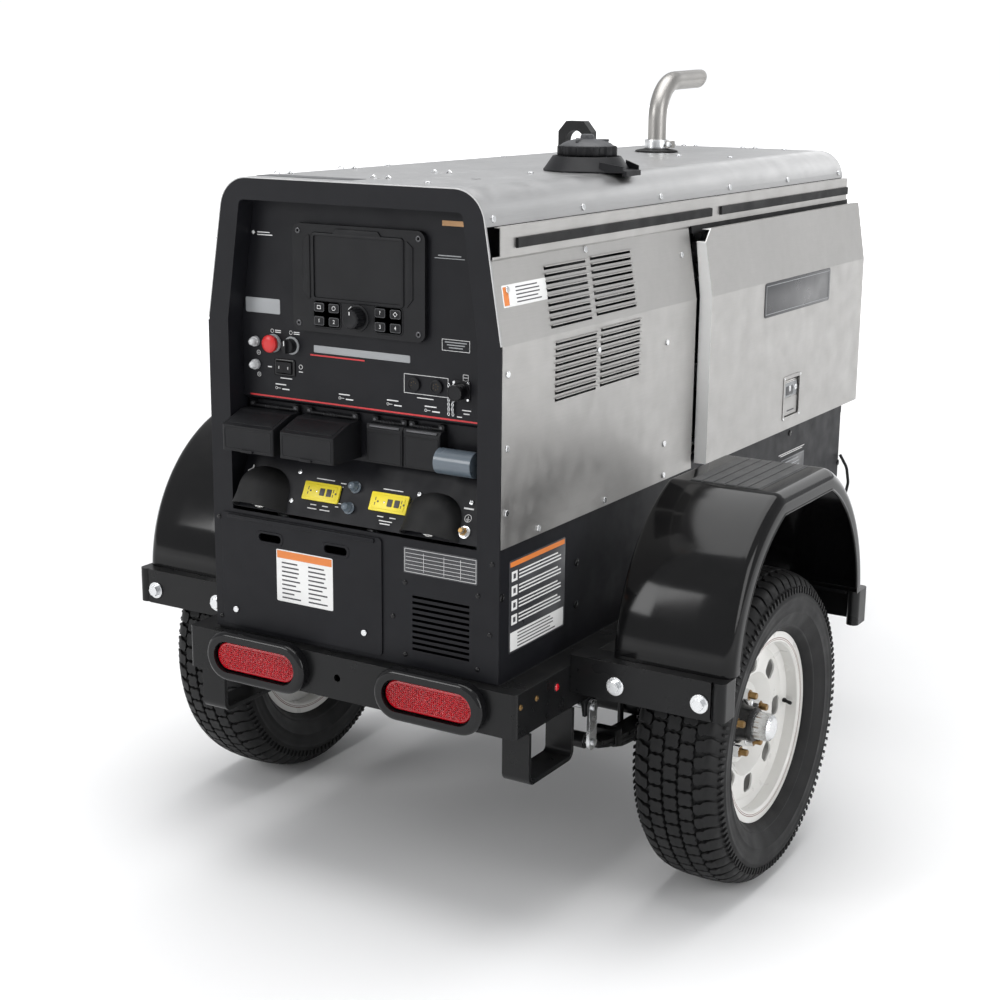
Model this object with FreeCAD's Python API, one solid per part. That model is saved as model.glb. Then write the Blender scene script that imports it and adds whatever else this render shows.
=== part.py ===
import FreeCAD, Part
import math
import os

# Engine-driven stick welder and generator on a two-wheel road trailer. Units are millimetres.
# While drawing, Z = 0 is the ground, X = 0 the centreline and Y = 0 the control face; +Y runs
# toward the coupler and +X is the side with the fuel cap. save() moves every node by ORIGIN_Y, so
# the finished origin lies on the ground under the middle of the trailer's length.

V = FreeCAD.Vector
OUT = "parts"
os.makedirs("parts", exist_ok=True)

# ---- driving dimensions -------------------------------------------------------------------------
ORIGIN_Y = 1135.0

BODY_LENGTH = 1605.0        # enclosure, control face to engine-end face
HALF_WIDTH = 310.0          # enclosure side from the axis
KINK_Z = 1070.0             # the side leans inward above this height
ROOF_Z = 1324.0
ROOF_HALF = 267.5           # half width where the leaning sides would meet the roof
ROOF_RADIUS = 60.0
BASE_Z = 484.0              # machine base rests on the trailer frame
BASE_TOP = 742.0
SHEET = 2.0
EAVE_Z = 1262.0             # lower edge of the hood
EAVE_X = 290.0              # rail that stands proud under the hood
RAIL_LOW_Z = 1212.0

FRAME_TOP = 484.0
FRAME_LOW = 403.0
RAIL_IN = 309.0
RAIL_OUT = 359.0
FRAME_WALL = 5.0
FRAME_REAR = 1230.0
BUMPER_FACE = -23.0
TONGUE_HALF = 38.0
TONGUE_END = 2190.0
HITCH_Y = 2270.0
HITCH_RADIUS = 45.0
BALL_RADIUS = 25.6          # socket for a 50.8 mm ball
BALL_Z = 430.0
LATCH_Y = 2225.0
LATCH_Z = 488.0
LATCH_PIN = 5.0

AXLE_Y = 513.6
AXLE_Z = 303.0
AXLE_RADIUS = 30.0
TYRE_RADIUS = 303.0
TYRE_HALF = 88.5
WHEEL_X = 538.0
RIM_RADIUS = 165.0
FLANGE_RADIUS = 184.0
SPINDLE_RADIUS = 17.5
RUNNING = 0.05              # radial clearance of running fits
STUD_CIRCLE = 57.15
STUD_COUNT = 5

SPRING_X = 334.0
SPRING_HALF = 22.5
SPRING_SPAN = 278.6         # axle to spring eye
LEAF = 8.0
LEAF_TOP = 272.5
EYE_Z = 318.0

FENDER_IN = 430.0
FENDER_OUT = 657.0
FENDER_TOP = 790.0
FENDER_RADIUS = 323.6
FENDER_Z = 490.0            # centre of the fender's arc
BRACKET_FRONT = 165.0
BRACKET_LOW = 434.0
BRACKET_TOP = 505.0

PANEL_Y = 40.0              # control panel face behind the front frame
STRIP_Y = 56.0              # outlet strip behind the control panel face
STRIP_TOP = 918.0
STRIP_LOW = 830.0
RECESS_LOW = 717.0
RECESS_TOP = 1287.0
RECESS_HALF = 267.0
RECESS_TOP_HALF = 235.0
SLOPE = math.atan2(STRIP_Y, STRIP_LOW - RECESS_LOW)

# Places on the control panel are (x, z).
STOP_AT = (-193.0, 1028.0)
START_AT = (-152.0, 1027.0)
ROCKER_AT = (-168.0, 986.0)
LAMPS_AT = ((-234.0, 1028.0), (-234.0, 986.0))
REMOTES_AT = ((112.0, 984.0), (158.0, 984.0))
CAPPED_AT = (208.0, 982.0)
DUST_CAP_AT = (210.0, 860.0)
KNOB_AT = (0.0, 1090.0)
KEYS = [(x, z) for x in (-81, -49, 49, 81) for z in (1103, 1079)]
COVER_X = (-202.5, -71.5, 53.0, 131.0)
COVER_Z = 866.0
# Places on the sloped outlet panel are (x, z).
STUDS_AT = ((-205.0, 745.0), (165.0, 745.0))
SAFETY_OUTLETS_AT = ((-78.0, 769.0), (69.0, 769.0))
BREAKERS_AT = ((-10.0, 786.0), (-13.0, 751.0))
GROUND_AT = (232.0, 744.0)

LIP_DEPTH = 3.6             # the hood's front edge runs down beside the face to the kink

# Louvre groups in each fixed side: y from, y to, z from, z to.
LOUVRES = ((167, 315, 1079, 1188), (332, 488, 1082, 1190), (180, 330, 950, 1058), (345, 501, 952, 1062))
LOUVRE_COUNT = 9

DOOR_FRONT = 757.0
DOOR_REAR = 1617.0
DOOR_LOW = 735.0
DOOR_TOP = 1206.0
DOOR_X = 338.0
DOOR_TOP_X = 316.0
CUP_FRONT = 1156.0          # latch cup in the door
CUP_REAR = 1244.0
CUP_LOW = 763.0
CUP_TOP = 850.0

LIGHT_X = 190.0
LIGHT_Z = 445.0
LIGHT_FACE = -45.0          # front of the lamp ring
LENS_FACE = -40.0           # the lens sits back inside the ring

CHAIN_X = (-21.0, 21.0)
CHAIN_Y = 2150.0
CHAIN_EYE = 16.0
CHAIN_TOP = 377.4           # centre of the first link
CHAIN_LINKS = 9

JACK_X = -98.0
JACK_Y = 2010.0
JACK_PIVOT_Z = 444.0
JACK_HEAD = 700.0

# Screws: (y, z) on the sides, y along the foot, (x, y) on the roof, (x, z) on the drawer.
SIDE_SCREWS = ((20, 1023), (20, 898), (20, 787), (337.5, 1022), (617, 1000), (617, 800))
LEAN_SCREWS = ((40, 1160), (318, 1202), (700, 1160), (26, 1275), (330, 1275), (640, 1275),
               (960, 1275), (1270, 1275), (1580, 1275))
FOOT_SCREWS = (128, 372, 617)
FOOT_SCREW_Z = 737.0
ROOF_SCREWS = ((-218, 436), (119, 70), (-205, 854), (121, 409), (66, 1150), (182, 1168), (145, 1560))
DRAWER_SCREWS = ((-260, 527), (32, 533))

BAIL_Y = 805.0
FILLER_X = 165.0
FILLER_Y = 545.0
ROOF_SLOTS = ((-219, 114), (-219, 309), (-7, 114), (-9, 311), (-112, 1585), (45, 1585))
EXHAUST_X = -50.0
EXHAUST_Y = 1274.0
SHAFT_RADIUS = 22.0
SHAFT_Z = 740.0


# ---- helpers ------------------------------------------------------------------------------------
def box(x0, x1, y0, y1, z0, z1):
    return Part.makeBox(x1 - x0, y1 - y0, z1 - z0, V(x0, y0, z0))


def cyl(radius, start, end):
    foot = V(*start)
    run = V(*end) - foot
    return Part.makeCylinder(radius, run.Length, foot, run)


def peg_x(radius, y, z, x0, x1):
    return cyl(radius, (x0, y, z), (x1, y, z))


def peg_y(radius, x, z, y0, y1):
    return cyl(radius, (x, y0, z), (x, y1, z))


def peg_z(radius, x, y, z0, z1):
    return cyl(radius, (x, y, z0), (x, y, z1))


def tube(outer, inner, start, end):
    return cyl(outer, start, end).cut(cyl(inner, start, end))


def extrude(points, run):
    corners = [V(*p) for p in points]
    wire = Part.makePolygon(corners + corners[:1])
    return Part.Face(wire).extrude(V(*run))


def prism_y(points, y0, y1):
    """Outline in X and Z, drawn along Y."""
    return extrude([(x, y0, z) for x, z in points], (0, y1 - y0, 0))


def prism_x(points, x0, x1):
    """Outline in Y and Z, drawn along X."""
    return extrude([(x0, y, z) for y, z in points], (x1 - x0, 0, 0))


def prism_z(points, z0, z1):
    """Outline in X and Y, drawn along Z."""
    return extrude([(x, y, z0) for x, y in points], (0, 0, z1 - z0))


def joined(shapes):
    return shapes[0].fuse(shapes[1:]).removeSplitter()


def cut_all(shape, tools):
    return shape.cut(Part.makeCompound(tools))


def mirrored(shape):
    return shape.mirror(V(0, 0, 0), V(1, 0, 0))


def both(shape):
    return Part.makeCompound([shape, mirrored(shape)])


def moved(shape, x, y, z):
    copy = shape.copy()
    copy.translate(V(x, y, z))
    return copy


def turned(shape, axis, degrees, centre=(0, 0, 0)):
    copy = shape.copy()
    copy.rotate(V(*centre), V(*axis), degrees)
    return copy


def edges_along(shape, axis, keep=lambda c: True):
    """Straight edges parallel to an axis whose midpoint passes keep."""
    found = []
    for edge in shape.Edges:
        if not isinstance(edge.Curve, (Part.Line, Part.LineSegment)):
            continue
        run = edge.Vertexes[-1].Point - edge.Vertexes[0].Point
        if run.Length > 1e-6 and abs(run.normalize().dot(V(*axis))) > 0.999:
            if keep(edge.CenterOfMass):
                found.append(edge)
    return found


def rounded(shape, axis, radius, keep=lambda c: True):
    return shape.makeFillet(radius, edges_along(shape, axis, keep))


def round_box(x0, x1, y0, y1, z0, z1, axis, radius):
    return rounded(box(x0, x1, y0, y1, z0, z1), axis, radius)


def stadium_y(x, z, length, height, y0, y1):
    """Oval with round ends, drawn along Y."""
    end = height / 2
    reach = length / 2 - end
    return joined([
        box(x - reach, x + reach, y0, y1, z - end, z + end),
        cyl(end, (x - reach, y0, z), (x - reach, y1, z)),
        cyl(end, (x + reach, y0, z), (x + reach, y1, z)),
    ])


def revolve_x(points, y, z):
    """Outline of (x, radius) points turned about an axis parallel to X."""
    wire = Part.makePolygon([V(x, y, z + r) for x, r in points + points[:1]])
    return Part.Face(wire).revolve(V(0, y, z), V(1, 0, 0), 360)


def softened(shape, radius, height, axis):
    """Round the edges whose midpoint lies at one height along an axis."""
    rim = [e for e in shape.Edges if abs(e.CenterOfMass.dot(V(*axis)) - height) < 0.1]
    return shape.makeFillet(radius, rim)


def ring_of(shape, axis, centre, count):
    return [turned(shape, axis, 360.0 * i / count, centre) for i in range(count)]


def hexagon(radius, height, start, axis):
    """Hexagonal prism from start along axis."""
    angles = [math.pi * i / 3 for i in range(6)]
    ring = [V(radius * math.cos(a), radius * math.sin(a), 0) for a in angles]
    body = Part.Face(Part.makePolygon(ring + ring[:1])).extrude(V(0, 0, height))
    body.Placement = FreeCAD.Placement(V(*start), FreeCAD.Rotation(V(0, 0, 1), V(*axis)))
    return body


def sweep(points, radius, bend):
    """Round bar along straight runs with bends of one radius."""
    corners = [V(*p) for p in points]
    pieces = []
    start = corners[0]
    for before, here, after in zip(corners, corners[1:], corners[2:]):
        back = (before - here).normalize()
        ahead = (after - here).normalize()
        half = math.acos(max(-1.0, min(1.0, back.dot(ahead)))) / 2
        reach = bend / math.tan(half)
        a = here + back * reach
        b = here + ahead * reach
        middle = (back + ahead).normalize()
        centre = here + middle * (bend / math.sin(half))
        m = centre - middle * bend
        pieces.append(Part.makeLine(start, a))
        pieces.append(Part.Arc(a, m, b).toShape())
        start = b
    pieces.append(Part.makeLine(start, corners[-1]))
    path = Part.Wire(pieces)
    ring = Part.Wire(Part.makeCircle(radius, corners[0], corners[1] - corners[0]))
    return path.makePipeShell([ring], True, True)


# The enclosure's outline: upright sides, then a lean inward to the roof.
LEAN = V(ROOF_HALF - HALF_WIDTH, 0, ROOF_Z - KINK_Z).normalize()
INWARD = V(-LEAN.z, 0, LEAN.x)


def lean_x(z, inset):
    """Half width of the leaning side at a height, moved inward by inset."""
    return HALF_WIDTH + (inset - INWARD.z * (z - KINK_Z)) / INWARD.x


def outline(inset, low):
    kink = KINK_Z + inset * (1 + INWARD.x) / INWARD.z
    top = ROOF_Z - inset
    reach = lean_x(top, inset)
    if low > kink:
        foot = lean_x(low, inset)
        return [(-foot, low), (foot, low), (reach, top), (-reach, top)]
    side = HALF_WIDTH - inset
    return [(-side, low), (side, low), (side, kink), (reach, top), (-reach, top), (-side, kink)]


def body_prism(inset, low, y0, y1):
    shape = prism_y(outline(inset, low), y0, y1)
    top = ROOF_Z - inset
    return rounded(shape, (0, 1, 0), ROOF_RADIUS - inset, lambda c: c.z > top - 0.1)


def on_slope(shape, x, z):
    """Place a shape drawn on the plane Y = 0 onto the sloped outlet panel."""
    copy = turned(shape, (1, 0, 0), -math.degrees(SLOPE))
    copy.translate(V(x, (z - RECESS_LOW) * math.tan(SLOPE), z))
    return copy


def save(name, shape):
    shape = shape.copy()
    shape.translate(V(0, -ORIGIN_Y, 0))
    shape.exportStep(os.path.join(OUT, name + ".step"))


# ---- trailer ------------------------------------------------------------------------------------
def rail_profile(x0, x1, y0, y1):
    """Outside and cavity of one rectangular frame tube that runs along Y or X."""
    outside = box(x0, x1, y0, y1, FRAME_LOW, FRAME_TOP)
    wall = FRAME_WALL
    cavity = box(x0 + wall, x1 - wall, y0 + wall, y1 - wall, FRAME_LOW + wall, FRAME_TOP - wall)
    return outside, cavity


def brace_profile(side, wall):
    """Angled frame tube from the rail's rear end to the tongue."""
    low_y = FRAME_REAR - 30 + wall
    points = [
        (side * (RAIL_OUT - wall), low_y),
        (side * (TONGUE_HALF - 5 + wall), 1765 - 2 * wall),
        (side * (TONGUE_HALF - 5 + wall), 1655 + wall),
        (side * (RAIL_IN + wall), low_y),
    ]
    return prism_z(points, FRAME_LOW + wall, FRAME_TOP - wall)


def tie_down_strap(x0, x1):
    """Flat bar bent to a U below a rail."""
    outer = round_box(x0, x1, 15, 175, 306, FRAME_LOW + 40, (1, 0, 0), 18)
    inner = round_box(x0 - 1, x1 + 1, 23, 167, 314, FRAME_LOW + 40, (1, 0, 0), 10)
    return outer.cut(inner).common(box(x0, x1, 0, 200, 300, FRAME_LOW))


def spring_hanger(y, low, pin_z):
    ears = []
    for x in (SPRING_X - 29, SPRING_X + 23):
        ear = prism_x([(y - 24, FRAME_LOW), (y + 24, FRAME_LOW), (y + 16, low), (y - 16, low)], x, x + 6)
        ears.append(ear.cut(cyl(7.5, (x - 1, y, pin_z), (x + 7, y, pin_z))))
    return ears


def light_recess(side, grow):
    return stadium_y(side * LIGHT_X, LIGHT_Z, 176 + grow, 56 + grow, BUMPER_FACE - 1, 20)


def trailer_frame():
    runs = [
        rail_profile(RAIL_IN, RAIL_OUT, BUMPER_FACE, FRAME_REAR),
        rail_profile(-RAIL_OUT, -RAIL_IN, BUMPER_FACE, FRAME_REAR),
        rail_profile(-RAIL_IN, RAIL_IN, BUMPER_FACE, 27),
        rail_profile(-RAIL_IN, RAIL_IN, 880, 930),
        rail_profile(-RAIL_IN, RAIL_IN, 1180, FRAME_REAR),
        rail_profile(-TONGUE_HALF, TONGUE_HALF, 930, TONGUE_END),
        (brace_profile(1, 0), brace_profile(1, FRAME_WALL)),
        (brace_profile(-1, 0), brace_profile(-1, FRAME_WALL)),
    ]
    outside = [run[0] for run in runs]
    outside += [tie_down_strap(310, 364), tie_down_strap(-364, -310)]
    front_eye = AXLE_Y - SPRING_SPAN
    rear_eye = AXLE_Y + SPRING_SPAN
    for ear in spring_hanger(front_eye, 370, 386) + spring_hanger(rear_eye, 300, EYE_Z):
        outside += [ear, mirrored(ear)]
    outside.append(peg_x(16, JACK_Y, JACK_PIVOT_Z, -TONGUE_HALF - 20, -TONGUE_HALF + 5))
    for x in CHAIN_X:
        eye = Part.makeTorus(CHAIN_EYE, 4, V(x, CHAIN_Y, FRAME_LOW), V(1, 0, 0))
        below = box(x - 5, x + 5, CHAIN_Y - 30, CHAIN_Y + 30, FRAME_LOW - 30, FRAME_LOW + 2)
        outside.append(eye.common(below))
    frame = joined(outside)
    frame = rounded(frame, (0, 0, 1), 8, lambda c: c.y < BUMPER_FACE + 1 and abs(c.x) > RAIL_OUT - 1)
    cavities = [run[1] for run in runs] + [light_recess(1, 4), light_recess(-1, 4)]
    for y, radius in ((-7, 5), (47, 5), (114, 7)):
        hole = peg_x(radius, y, 459, RAIL_OUT - 8, RAIL_OUT + 1)
        cavities += [hole, mirrored(hole)]
    cavities.append(peg_y(7, -15, LIGHT_Z - 1, BUMPER_FACE - 1, BUMPER_FACE + 8))
    return cut_all(frame, cavities)


def light_housings():
    shapes = []
    for side in (-1, 1):
        x = side * LIGHT_X
        ring = stadium_y(x, LIGHT_Z, 226, 95, LIGHT_FACE, BUMPER_FACE - 0.2)
        ring = softened(ring, 9, LIGHT_FACE, (0, 1, 0))
        seat = stadium_y(x, LIGHT_Z, 186, 60, LIGHT_FACE - 1, -27)
        well = stadium_y(x, LIGHT_Z, 150, 36, -28, 14)
        shapes.append(cut_all(joined([ring, light_recess(side, 0)]), [seat, well]))
    return Part.makeCompound(shapes)


def light_lenses():
    shapes = []
    for side in (-1, 1):
        lens = stadium_y(side * LIGHT_X, LIGHT_Z, 184, 58, LENS_FACE, -27.2)
        shapes.append(softened(lens, 4, LENS_FACE, (0, 1, 0)))
    return Part.makeCompound(shapes)


def arched(inset, low, x0, x1, corner):
    """Half disc with a flat crown, moved inward by inset; low is the height of its foot."""
    disc = peg_x(FENDER_RADIUS - inset, AXLE_Y, FENDER_Z, x0, x1)
    reach = FENDER_RADIUS + 1
    band = box(x0 - 1, x1 + 1, AXLE_Y - reach, AXLE_Y + reach, low, FENDER_TOP - inset)
    return rounded(disc.common(band), (1, 0, 0), corner, lambda c: c.z > 600)


def rounded_rim(solid, x, radius):
    """Round the outer rim of an arched solid, leaving its feet square."""
    rim = [e for e in solid.Edges
           if abs(e.CenterOfMass.x - x) < 0.1 and e.CenterOfMass.z > BRACKET_TOP + 1]
    return solid.makeFillet(radius, rim)


def fender(wall=3.0):
    """Pressed arch with a rounded outer rim, an open outer side and ribs to step on."""
    outer = rounded_rim(arched(0, BRACKET_TOP, FENDER_IN, FENDER_OUT, 45), FENDER_OUT, 26)
    inner = arched(wall, BRACKET_TOP - 1, FENDER_IN - 1, FENDER_OUT - wall, 42)
    inner = rounded_rim(inner, FENDER_OUT - wall, 23)
    opening = arched(38, BRACKET_TOP - 2, FENDER_OUT - wall - 1, FENDER_OUT + 1, 40)
    grooves = []
    for x in range(485, 590, 22):
        grooves.append(box(x - 1.2, x + 1.2, 405, 600, FENDER_TOP - 1.2, FENDER_TOP + 1))
    return cut_all(outer.cut(inner).cut(opening), grooves)


def fender_bracket():
    """Angle arm between the rail and the fender's front end."""
    front = BRACKET_FRONT
    back = front + 56
    top = BRACKET_TOP - 0.5
    face = box(RAIL_OUT + 0.5, 632, front, front + 6, BRACKET_LOW, top)
    shelf = box(RAIL_OUT + 0.5, 632, front, back, top - 6, top)
    cap = round_box(632, FENDER_OUT, front - 1, back, BRACKET_LOW, top, (0, 0, 1), 12)
    return joined([face, shelf, cap])


def across_axle(shape):
    """The same shape on the other side of the axle's plane."""
    return shape.mirror(V(0, AXLE_Y, 0), V(0, 1, 0))


def fender_brackets():
    front = fender_bracket()
    rear = across_axle(front)
    return Part.makeCompound([front, rear, mirrored(front), mirrored(rear)])


def coupler():
    """Ball coupler: channel, rounded nose with the ball socket, and lugs for the latch pin."""
    low = FRAME_LOW + 6
    top = FRAME_TOP - 14
    shell = joined([
        box(-TONGUE_HALF, TONGUE_HALF, TONGUE_END + 0.5, HITCH_Y, low, top),
        peg_z(HITCH_RADIUS, 0, HITCH_Y, low, top),
    ])
    shell = softened(shell, 9, top, (0, 0, 1))
    seat = Part.makeSphere(BALL_RADIUS, V(0, HITCH_Y, BALL_Z))
    mouth = peg_z(BALL_RADIUS, 0, HITCH_Y, FRAME_LOW, BALL_Z)
    lugs = [box(x, x + 6, LATCH_Y - 13, LATCH_Y + 13, top - 2, top + 28) for x in (-20, 14)]
    pin_hole = peg_x(LATCH_PIN + RUNNING, LATCH_Y, LATCH_Z, -30, 30)
    return cut_all(joined([shell] + lugs), [seat, mouth, pin_hole])


def coupler_latch():
    """Locking lever on its pin, folded back over the channel."""
    pin = peg_x(LATCH_PIN, LATCH_Y, LATCH_Z, -22, 22)
    side = [(LATCH_Y - 7, FRAME_TOP - 4), (LATCH_Y + 7, FRAME_TOP - 6), (LATCH_Y + 9, FRAME_TOP + 12),
            (LATCH_Y - 95, FRAME_TOP + 34), (LATCH_Y - 97, FRAME_TOP + 26)]
    return joined([pin, prism_x(side, -12, 12)])


def chain_link():
    """Oval link in the X-Z plane, 44 long and 26 wide, of 8 mm bar."""
    points = [(0, 0, 22 - 4), (9, 0, 18), (9, 0, -18), (-9, 0, -18), (-9, 0, 18), (0, 0, 18)]
    return sweep(points, 4.0, 8.5)


def safety_chains():
    """Two hanging chains of separate links, each with an open hook."""
    link = chain_link()
    crossed = turned(link, (0, 0, 1), 90)
    pitch = 27.6
    shapes = []
    for x in CHAIN_X:
        for i in range(CHAIN_LINKS):
            shapes.append(moved(crossed if i % 2 else link, x, CHAIN_Y, CHAIN_TOP - pitch * i))
        top = CHAIN_TOP - pitch * (CHAIN_LINKS - 1) - 8
        y = CHAIN_Y
        low = top - 50
        hook = [(x, y - 6, top), (x, y - 22, top), (x, y - 22, low), (x, y + 14, low), (x, y + 14, low + 28)]
        shapes.append(sweep(hook, 4.0, 9.0))
    return Part.makeCompound(shapes)


def spring_shackles():
    """Shackle plates and pins, and the pins of the fixed hangers."""
    front = AXLE_Y - SPRING_SPAN
    rear = AXLE_Y + SPRING_SPAN
    parts = []
    for pin_z in (386, EYE_Z):
        parts.append(cyl(7.0, (SPRING_X - 42, front, pin_z), (SPRING_X + 42, front, pin_z)))
    for x in (SPRING_X - 37, SPRING_X + 31):
        plate = box(x, x + 6, front - 14, front + 14, EYE_Z - 14, 400)
        parts.append(rounded(plate, (1, 0, 0), 13))
    shackle = joined(parts)
    pin = cyl(7.0, (SPRING_X - 36, rear, EYE_Z), (SPRING_X + 36, rear, EYE_Z))
    heads = [hexagon(11, 6, (SPRING_X + 36, rear, EYE_Z), (1, 0, 0)),
             hexagon(11, 6, (SPRING_X - 36, rear, EYE_Z), (-1, 0, 0))]
    bolt = joined([pin] + heads)
    return Part.makeCompound([shackle, bolt, mirrored(shackle), mirrored(bolt)])


def leaf_spring():
    """Three leaves bent to one centre, with a rolled eye at each end of the main leaf."""
    rise = EYE_Z - 7 - LEAF_TOP
    bend = (SPRING_SPAN ** 2 + rise ** 2) / (2 * rise)
    top = LEAF_TOP + bend
    x0 = SPRING_X - SPRING_HALF
    x1 = SPRING_X + SPRING_HALF
    parts = []
    for i, reach in enumerate((SPRING_SPAN, 215.0, 150.0)):
        band = tube(bend + LEAF * (i + 1), bend + LEAF * i, (x0, AXLE_Y, top), (x1, AXLE_Y, top))
        parts.append(band.common(box(x0, x1, AXLE_Y - reach, AXLE_Y + reach, 200, EYE_Z + 20)))
    for y in (AXLE_Y - SPRING_SPAN, AXLE_Y + SPRING_SPAN):
        parts.append(cyl(15.0, (x0, y, EYE_Z), (x1, y, EYE_Z)))
    spring = joined(parts)
    holes = [cyl(7.5, (x0 - 1, y, EYE_Z), (x1 + 1, y, EYE_Z))
             for y in (AXLE_Y - SPRING_SPAN, AXLE_Y + SPRING_SPAN)]
    return cut_all(spring, holes)


def axle_beam():
    """Axle tube with spindles, and a plate and two U-bolts round each spring."""
    parts = [cyl(AXLE_RADIUS, (-425, AXLE_Y, AXLE_Z), (425, AXLE_Y, AXLE_Z)),
             cyl(SPINDLE_RADIUS, (-566, AXLE_Y, AXLE_Z), (566, AXLE_Y, AXLE_Z))]
    low = LEAF_TOP - 3 * LEAF - 0.5
    for side in (-1, 1):
        x = side * SPRING_X
        parts.append(box(x - 42, x + 42, AXLE_Y - 52, AXLE_Y + 52, low - 9, low))
        for offset in (-31, 31):
            bow = Part.makeTorus(AXLE_RADIUS + 6, 6, V(x + offset, AXLE_Y, AXLE_Z), V(1, 0, 0))
            upper = box(x + offset - 10, x + offset + 10, AXLE_Y - 60, AXLE_Y + 60, AXLE_Z, 400)
            parts.append(bow.common(upper))
            for reach in (-36, 36):
                y = AXLE_Y + reach
                parts.append(cyl(6, (x + offset, y, low - 22), (x + offset, y, AXLE_Z)))
                parts.append(hexagon(10, 9, (x + offset, y, low - 18), (0, 0, 1)))
    return joined(parts)


# ---- wheels (drawn for the +X side) -------------------------------------------------------------
def tyre():
    """Carcass with tread crown, bulged sidewalls, beads and the air chamber."""
    bead = RIM_RADIUS + 0.3
    right = [(52, bead), (52.4, 185), (62, 190), (76, 206), (86, 228), (TYRE_HALF, 246),
             (86, 266), (79, 284), (72, 293), (45, 300.5)]
    chamber = [(66, 280), (76, 250), (74, 232), (62, 210), (44, 190), (44, bead)]
    crown = [(0, TYRE_RADIUS)]
    roof = [(45, 287), (0, 289), (-45, 287)]
    section = right + crown + [(-x, r) for x, r in reversed(right)]
    section += [(-x, r) for x, r in reversed(chamber)] + list(reversed(roof)) + chamber
    return revolve_x([(WHEEL_X + x, r) for x, r in section], AXLE_Y, AXLE_Z)


def rim():
    """Steel wheel: rolled barrel with flanges and a dished disc with eight openings."""
    wall = 3.0
    edge = RIM_RADIUS
    drop = edge - 16
    barrel = [(-53, edge), (-53, FLANGE_RADIUS), (-56, FLANGE_RADIUS), (-56, edge),
              (-52, edge - wall), (-30, edge - wall), (-22, drop - wall), (22, drop - wall),
              (30, edge - wall), (52, edge - wall), (56, edge), (56, FLANGE_RADIUS),
              (53, FLANGE_RADIUS), (53, edge), (30, edge), (22, drop), (-22, drop), (-30, edge)]
    seat = drop + 1 - wall
    disc = [(4.5, 42), (4.5, 78), (24, 100), (24, seat), (20, seat), (20, 102), (0.5, 80), (0.5, 42)]
    turned_parts = []
    for profile in (barrel, disc):
        turned_parts.append(revolve_x([(WHEEL_X + x, r) for x, r in profile], AXLE_Y, AXLE_Z))
    window = round_box(WHEEL_X - 30, WHEEL_X + 40, AXLE_Y - 19, AXLE_Y + 19,
                       AXLE_Z + 103, AXLE_Z + 137, (1, 0, 0), 12)
    stud_hole = peg_x(7.5, AXLE_Y, AXLE_Z + STUD_CIRCLE, WHEEL_X - 9, WHEEL_X + 30)
    centre = (0, AXLE_Y, AXLE_Z)
    holes = ring_of(window, (1, 0, 0), centre, 8) + ring_of(stud_hole, (1, 0, 0), centre, STUD_COUNT)
    return cut_all(joined(turned_parts), holes)


def hub():
    """Hub barrel with grease cap, mounting flange, studs and nuts; bored to run on the spindle."""
    profile = [(-98, 0), (-98, 44), (-60, 44), (-20, 40), (-12, 40), (-12, 72), (0.3, 72),
               (0.3, 40), (8, 34), (34, 32.5), (37, 26), (65, 25), (69, 19), (70, 0)]
    body = revolve_x([(WHEEL_X + x, r) for x, r in profile], AXLE_Y, AXLE_Z)
    bore = peg_x(SPINDLE_RADIUS + RUNNING, AXLE_Y, AXLE_Z, WHEEL_X - 99, WHEEL_X + 32)
    stud = peg_x(6.35, AXLE_Y, AXLE_Z + STUD_CIRCLE, WHEEL_X - 5, WHEEL_X + 33)
    nut = hexagon(11, 16, (WHEEL_X + 5.0, AXLE_Y, AXLE_Z + STUD_CIRCLE), (1, 0, 0))
    centre = (0, AXLE_Y, AXLE_Z)
    studs = ring_of(stud.fuse(nut), (1, 0, 0), centre, STUD_COUNT)
    return body.fuse(studs).cut(bore)


# ---- jack ---------------------------------------------------------------------------------------
def jack_body():
    """Swivel tube with mounting plate and gear head."""
    sleeve = peg_z(28.5, JACK_X, JACK_Y, 300, JACK_HEAD).cut(peg_z(25.08, JACK_X, JACK_Y, 300, JACK_HEAD))
    head = peg_z(34, JACK_X, JACK_Y, JACK_HEAD, JACK_HEAD + 36)
    head = head.cut(peg_z(8.05, JACK_X, JACK_Y, JACK_HEAD - 5, JACK_HEAD + 40))
    plate = box(JACK_X + 22, -TONGUE_HALF - 12, JACK_Y - 50, JACK_Y + 50,
                JACK_PIVOT_Z - 50, JACK_PIVOT_Z + 50)
    plate = plate.cut(peg_z(28, JACK_X, JACK_Y, 300, 600))
    bore = peg_x(16.05, JACK_Y, JACK_PIVOT_Z, JACK_X + 34, 0)
    return joined([sleeve, head, plate]).cut(bore)


def jack_leg():
    """Hollow leg that slides in the tube, with its foot plate."""
    post = peg_z(25.0, JACK_X, JACK_Y, 8, 420).cut(peg_z(14, JACK_X, JACK_Y, 40, 421))
    foot = peg_z(54, JACK_X, JACK_Y, 0, 8)
    return joined([post, foot])


def jack_handle():
    """Screw, crank arm and grip."""
    screw = peg_z(8.0, JACK_X, JACK_Y, 425, JACK_HEAD + 52)
    arm = round_box(JACK_X - 14, JACK_X + 14, JACK_Y - 14, JACK_Y + 130,
                    JACK_HEAD + 40, JACK_HEAD + 48, (0, 0, 1), 13)
    grip = peg_z(13, JACK_X, JACK_Y + 116, JACK_HEAD + 46, JACK_HEAD + 130)
    return joined([screw, arm, grip])


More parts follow.
